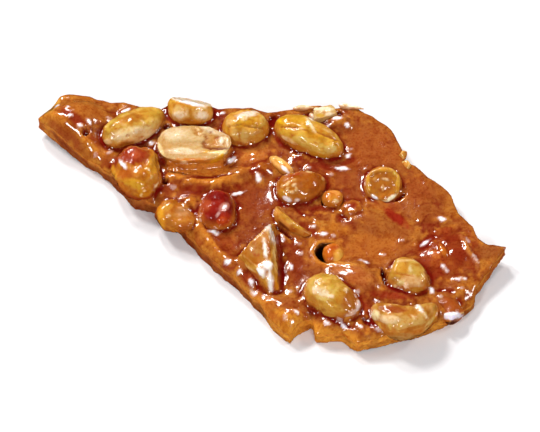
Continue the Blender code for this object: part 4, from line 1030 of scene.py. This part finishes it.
BITS = {
    "nub": ((13.2, 4.3, 4.7), (4.4, 3.6, 3.2), (20, 0, 0), "whole", 4.9),
    "blister_ball": ((13.4, -9.7, 3.4), (4.6, 5.2, 4.4), (0, 0, 0), "whole", 1.6),
    "sliver": ((2.4, 12.8, 4.9), (6.8, 2.4, 2.2), (-46, 0, 0), "whole", 4.6),
    "rim_strip": ((17.6, 28.3, 4.6), (5.6, 0.9, 1.1), (-12, 0, 0), "whole", 3.6),
    "rim_nib": ((7.2, 28.2, 4.9), (4.8, 1.0, 1.3), (2, 0, 0), "whole", 3.6),
    "rim_nib_small": ((9.3, 25.8, 4.9), (2.4, 1.1, 1.2), (-50, 0, 0), "whole", 4.6),
    "edge_crumb": ((29.6, 13.6, 4.0), (4.2, 2.2, 2.4), (-52, 0, 0), "flake", 3.6),
    "edge_crumb_far": ((28.0, 16.4, 4.1), (3.0, 2.0, 2.2), (70, 0, 0), "flake", 3.6),
}
BIT_TONES = {
    "nub": ((208, 136, 42), (194, 112, 32), CREAM, 0.2),
    "blister_ball": ((204, 114, 24), (186, 92, 20), CREAM, 0.0),
    "sliver": ((232, 188, 104), (220, 160, 76), CREAM, 0.0),
    "edge_crumb": ((206, 146, 56), (190, 118, 40), (222, 172, 84), 0.1),
    "edge_crumb_far": ((206, 146, 56), (190, 118, 40), (222, 172, 84), 0.1),
}
PALE_BIT = ((250, 236, 214), (240, 214, 168), WHITE_FLESH_AND_GLINT, 0.0)
# The pale spot on the nub, the yellow band on the blister ball and the white streak on the sliver are painted
# highlights, and the nub's darker left side is painted shade.
BIT_MARKS = {
    "nub": ((0.7, -0.6, 1.4, 1.1, PAINTED_HIGHLIGHT, 0.9, 0, 0.05), (-1.4, 0.6, 1.2, 2.4, (176, 92, 28), 0.7)),
    "blister_ball": (
        (0, 0, 5, 5, (196, 104, 24), 0.8), (0.9, 0.1, 2.3, 3.8, (238, 184, 78), 0.85, -14, 0.05),
        (0.2, 1.8, 2.4, 0.9, RUST, 0.6),
    ),
    "sliver": ((0.8, -0.8, 3, 1, PAINTED_GLINT, 0.9, -46, 0.05), (-1, 1, 3, 0.5, GILT, 0.7, -46)),
}
for name, setting in BITS.items():
    tones, marks = BIT_TONES.get(name, PALE_BIT), BIT_MARKS.get(name, ())
    bit, world = kernel_piece(name, setting, tones, marks, nut_glazed, 4)

# The table top, the lights and the camera.
# A plain pale floor, a two-paned soft light high behind the piece and to its left, weaker ones around it, and
# a long lens that looks down at the piece as steeply as one does over a plate.

FLOOR_SIDE = 3.0
ELEVATION = 54.0
CAMERA_DISTANCE = 0.95
FRAME_WIDTH = 0.114
SENSOR = 36.0
AIM = (0.0, 0.001, 0.003)
FLOOR_WHITE = (0.86, 0.86, 0.86, 1.0)
SKY = (0.90, 0.90, 1.0, 1.0)
SKY_STRENGTH = 0.28

bm = bmesh.new()
bmesh.ops.create_grid(bm, x_segments=1, y_segments=1, size=FLOOR_SIDE / 2)
floor = linked("floor", grown_mesh(bm, "floor"))
floor_material, floor_shader, _ = new_finish("pale_floor")
floor_shader.inputs["Base Color"].default_value = FLOOR_WHITE
floor_shader.inputs["Roughness"].default_value = 0.6
floor.data.materials.append(floor_material)
floor.visible_glossy = False


def soft_light(name, place, side, power, colour):
    light = bpy.data.lights.new(name, "AREA")
    light.shape = "RECTANGLE"
    light.size, light.size_y = side
    light.energy = power
    light.color = colour
    lamp = bpy.data.objects.new(name, light)
    bpy.context.scene.collection.objects.link(lamp)
    lamp.location = place
    lamp.rotation_euler = (-Vector(place)).to_track_quat("-Z", "Y").to_euler()


WARM_WHITE = (1.0, 0.98, 0.97)
soft_light("left_pane", (-0.42, 0.40, 0.60), (0.14, 0.20), 3.6, WARM_WHITE)
soft_light("right_pane", (-0.20, 0.52, 0.56), (0.12, 0.18), 3.0, WARM_WHITE)
soft_light("right_panel", (0.48, 0.10, 0.45), (0.12, 0.12), 0.9, (1.0, 0.98, 0.96))
soft_light("front_panel", (-0.30, -0.45, 0.46), (0.12, 0.10), 1.5, WARM_WHITE)
soft_light("near_panel", (0.25, -0.50, 0.42), (0.10, 0.10), 1.2, WARM_WHITE)

world = bpy.data.worlds.new("studio")
world.use_nodes = True
backdrop = world.node_tree.nodes["Background"]
backdrop.inputs["Color"].default_value = SKY
backdrop.inputs["Strength"].default_value = SKY_STRENGTH
world.cycles_visibility.glossy = False
bpy.context.scene.world = world
bpy.context.scene.view_settings.view_transform = "Standard"

camera = bpy.data.cameras.new("camera")
camera.sensor_width = SENSOR
camera.lens = SENSOR * CAMERA_DISTANCE / FRAME_WIDTH
camera.clip_start = 0.01
camera.clip_end = 20.0
viewer = bpy.data.objects.new("camera", camera)
bpy.context.scene.collection.objects.link(viewer)
aim = Vector(AIM)
tilt = math.radians(ELEVATION)
viewer.location = aim + Vector((0.0, -math.cos(tilt), math.sin(tilt))) * CAMERA_DISTANCE
viewer.rotation_euler = (aim - viewer.location).to_track_quat("-Z", "Y").to_euler()
bpy.context.scene.camera = viewer
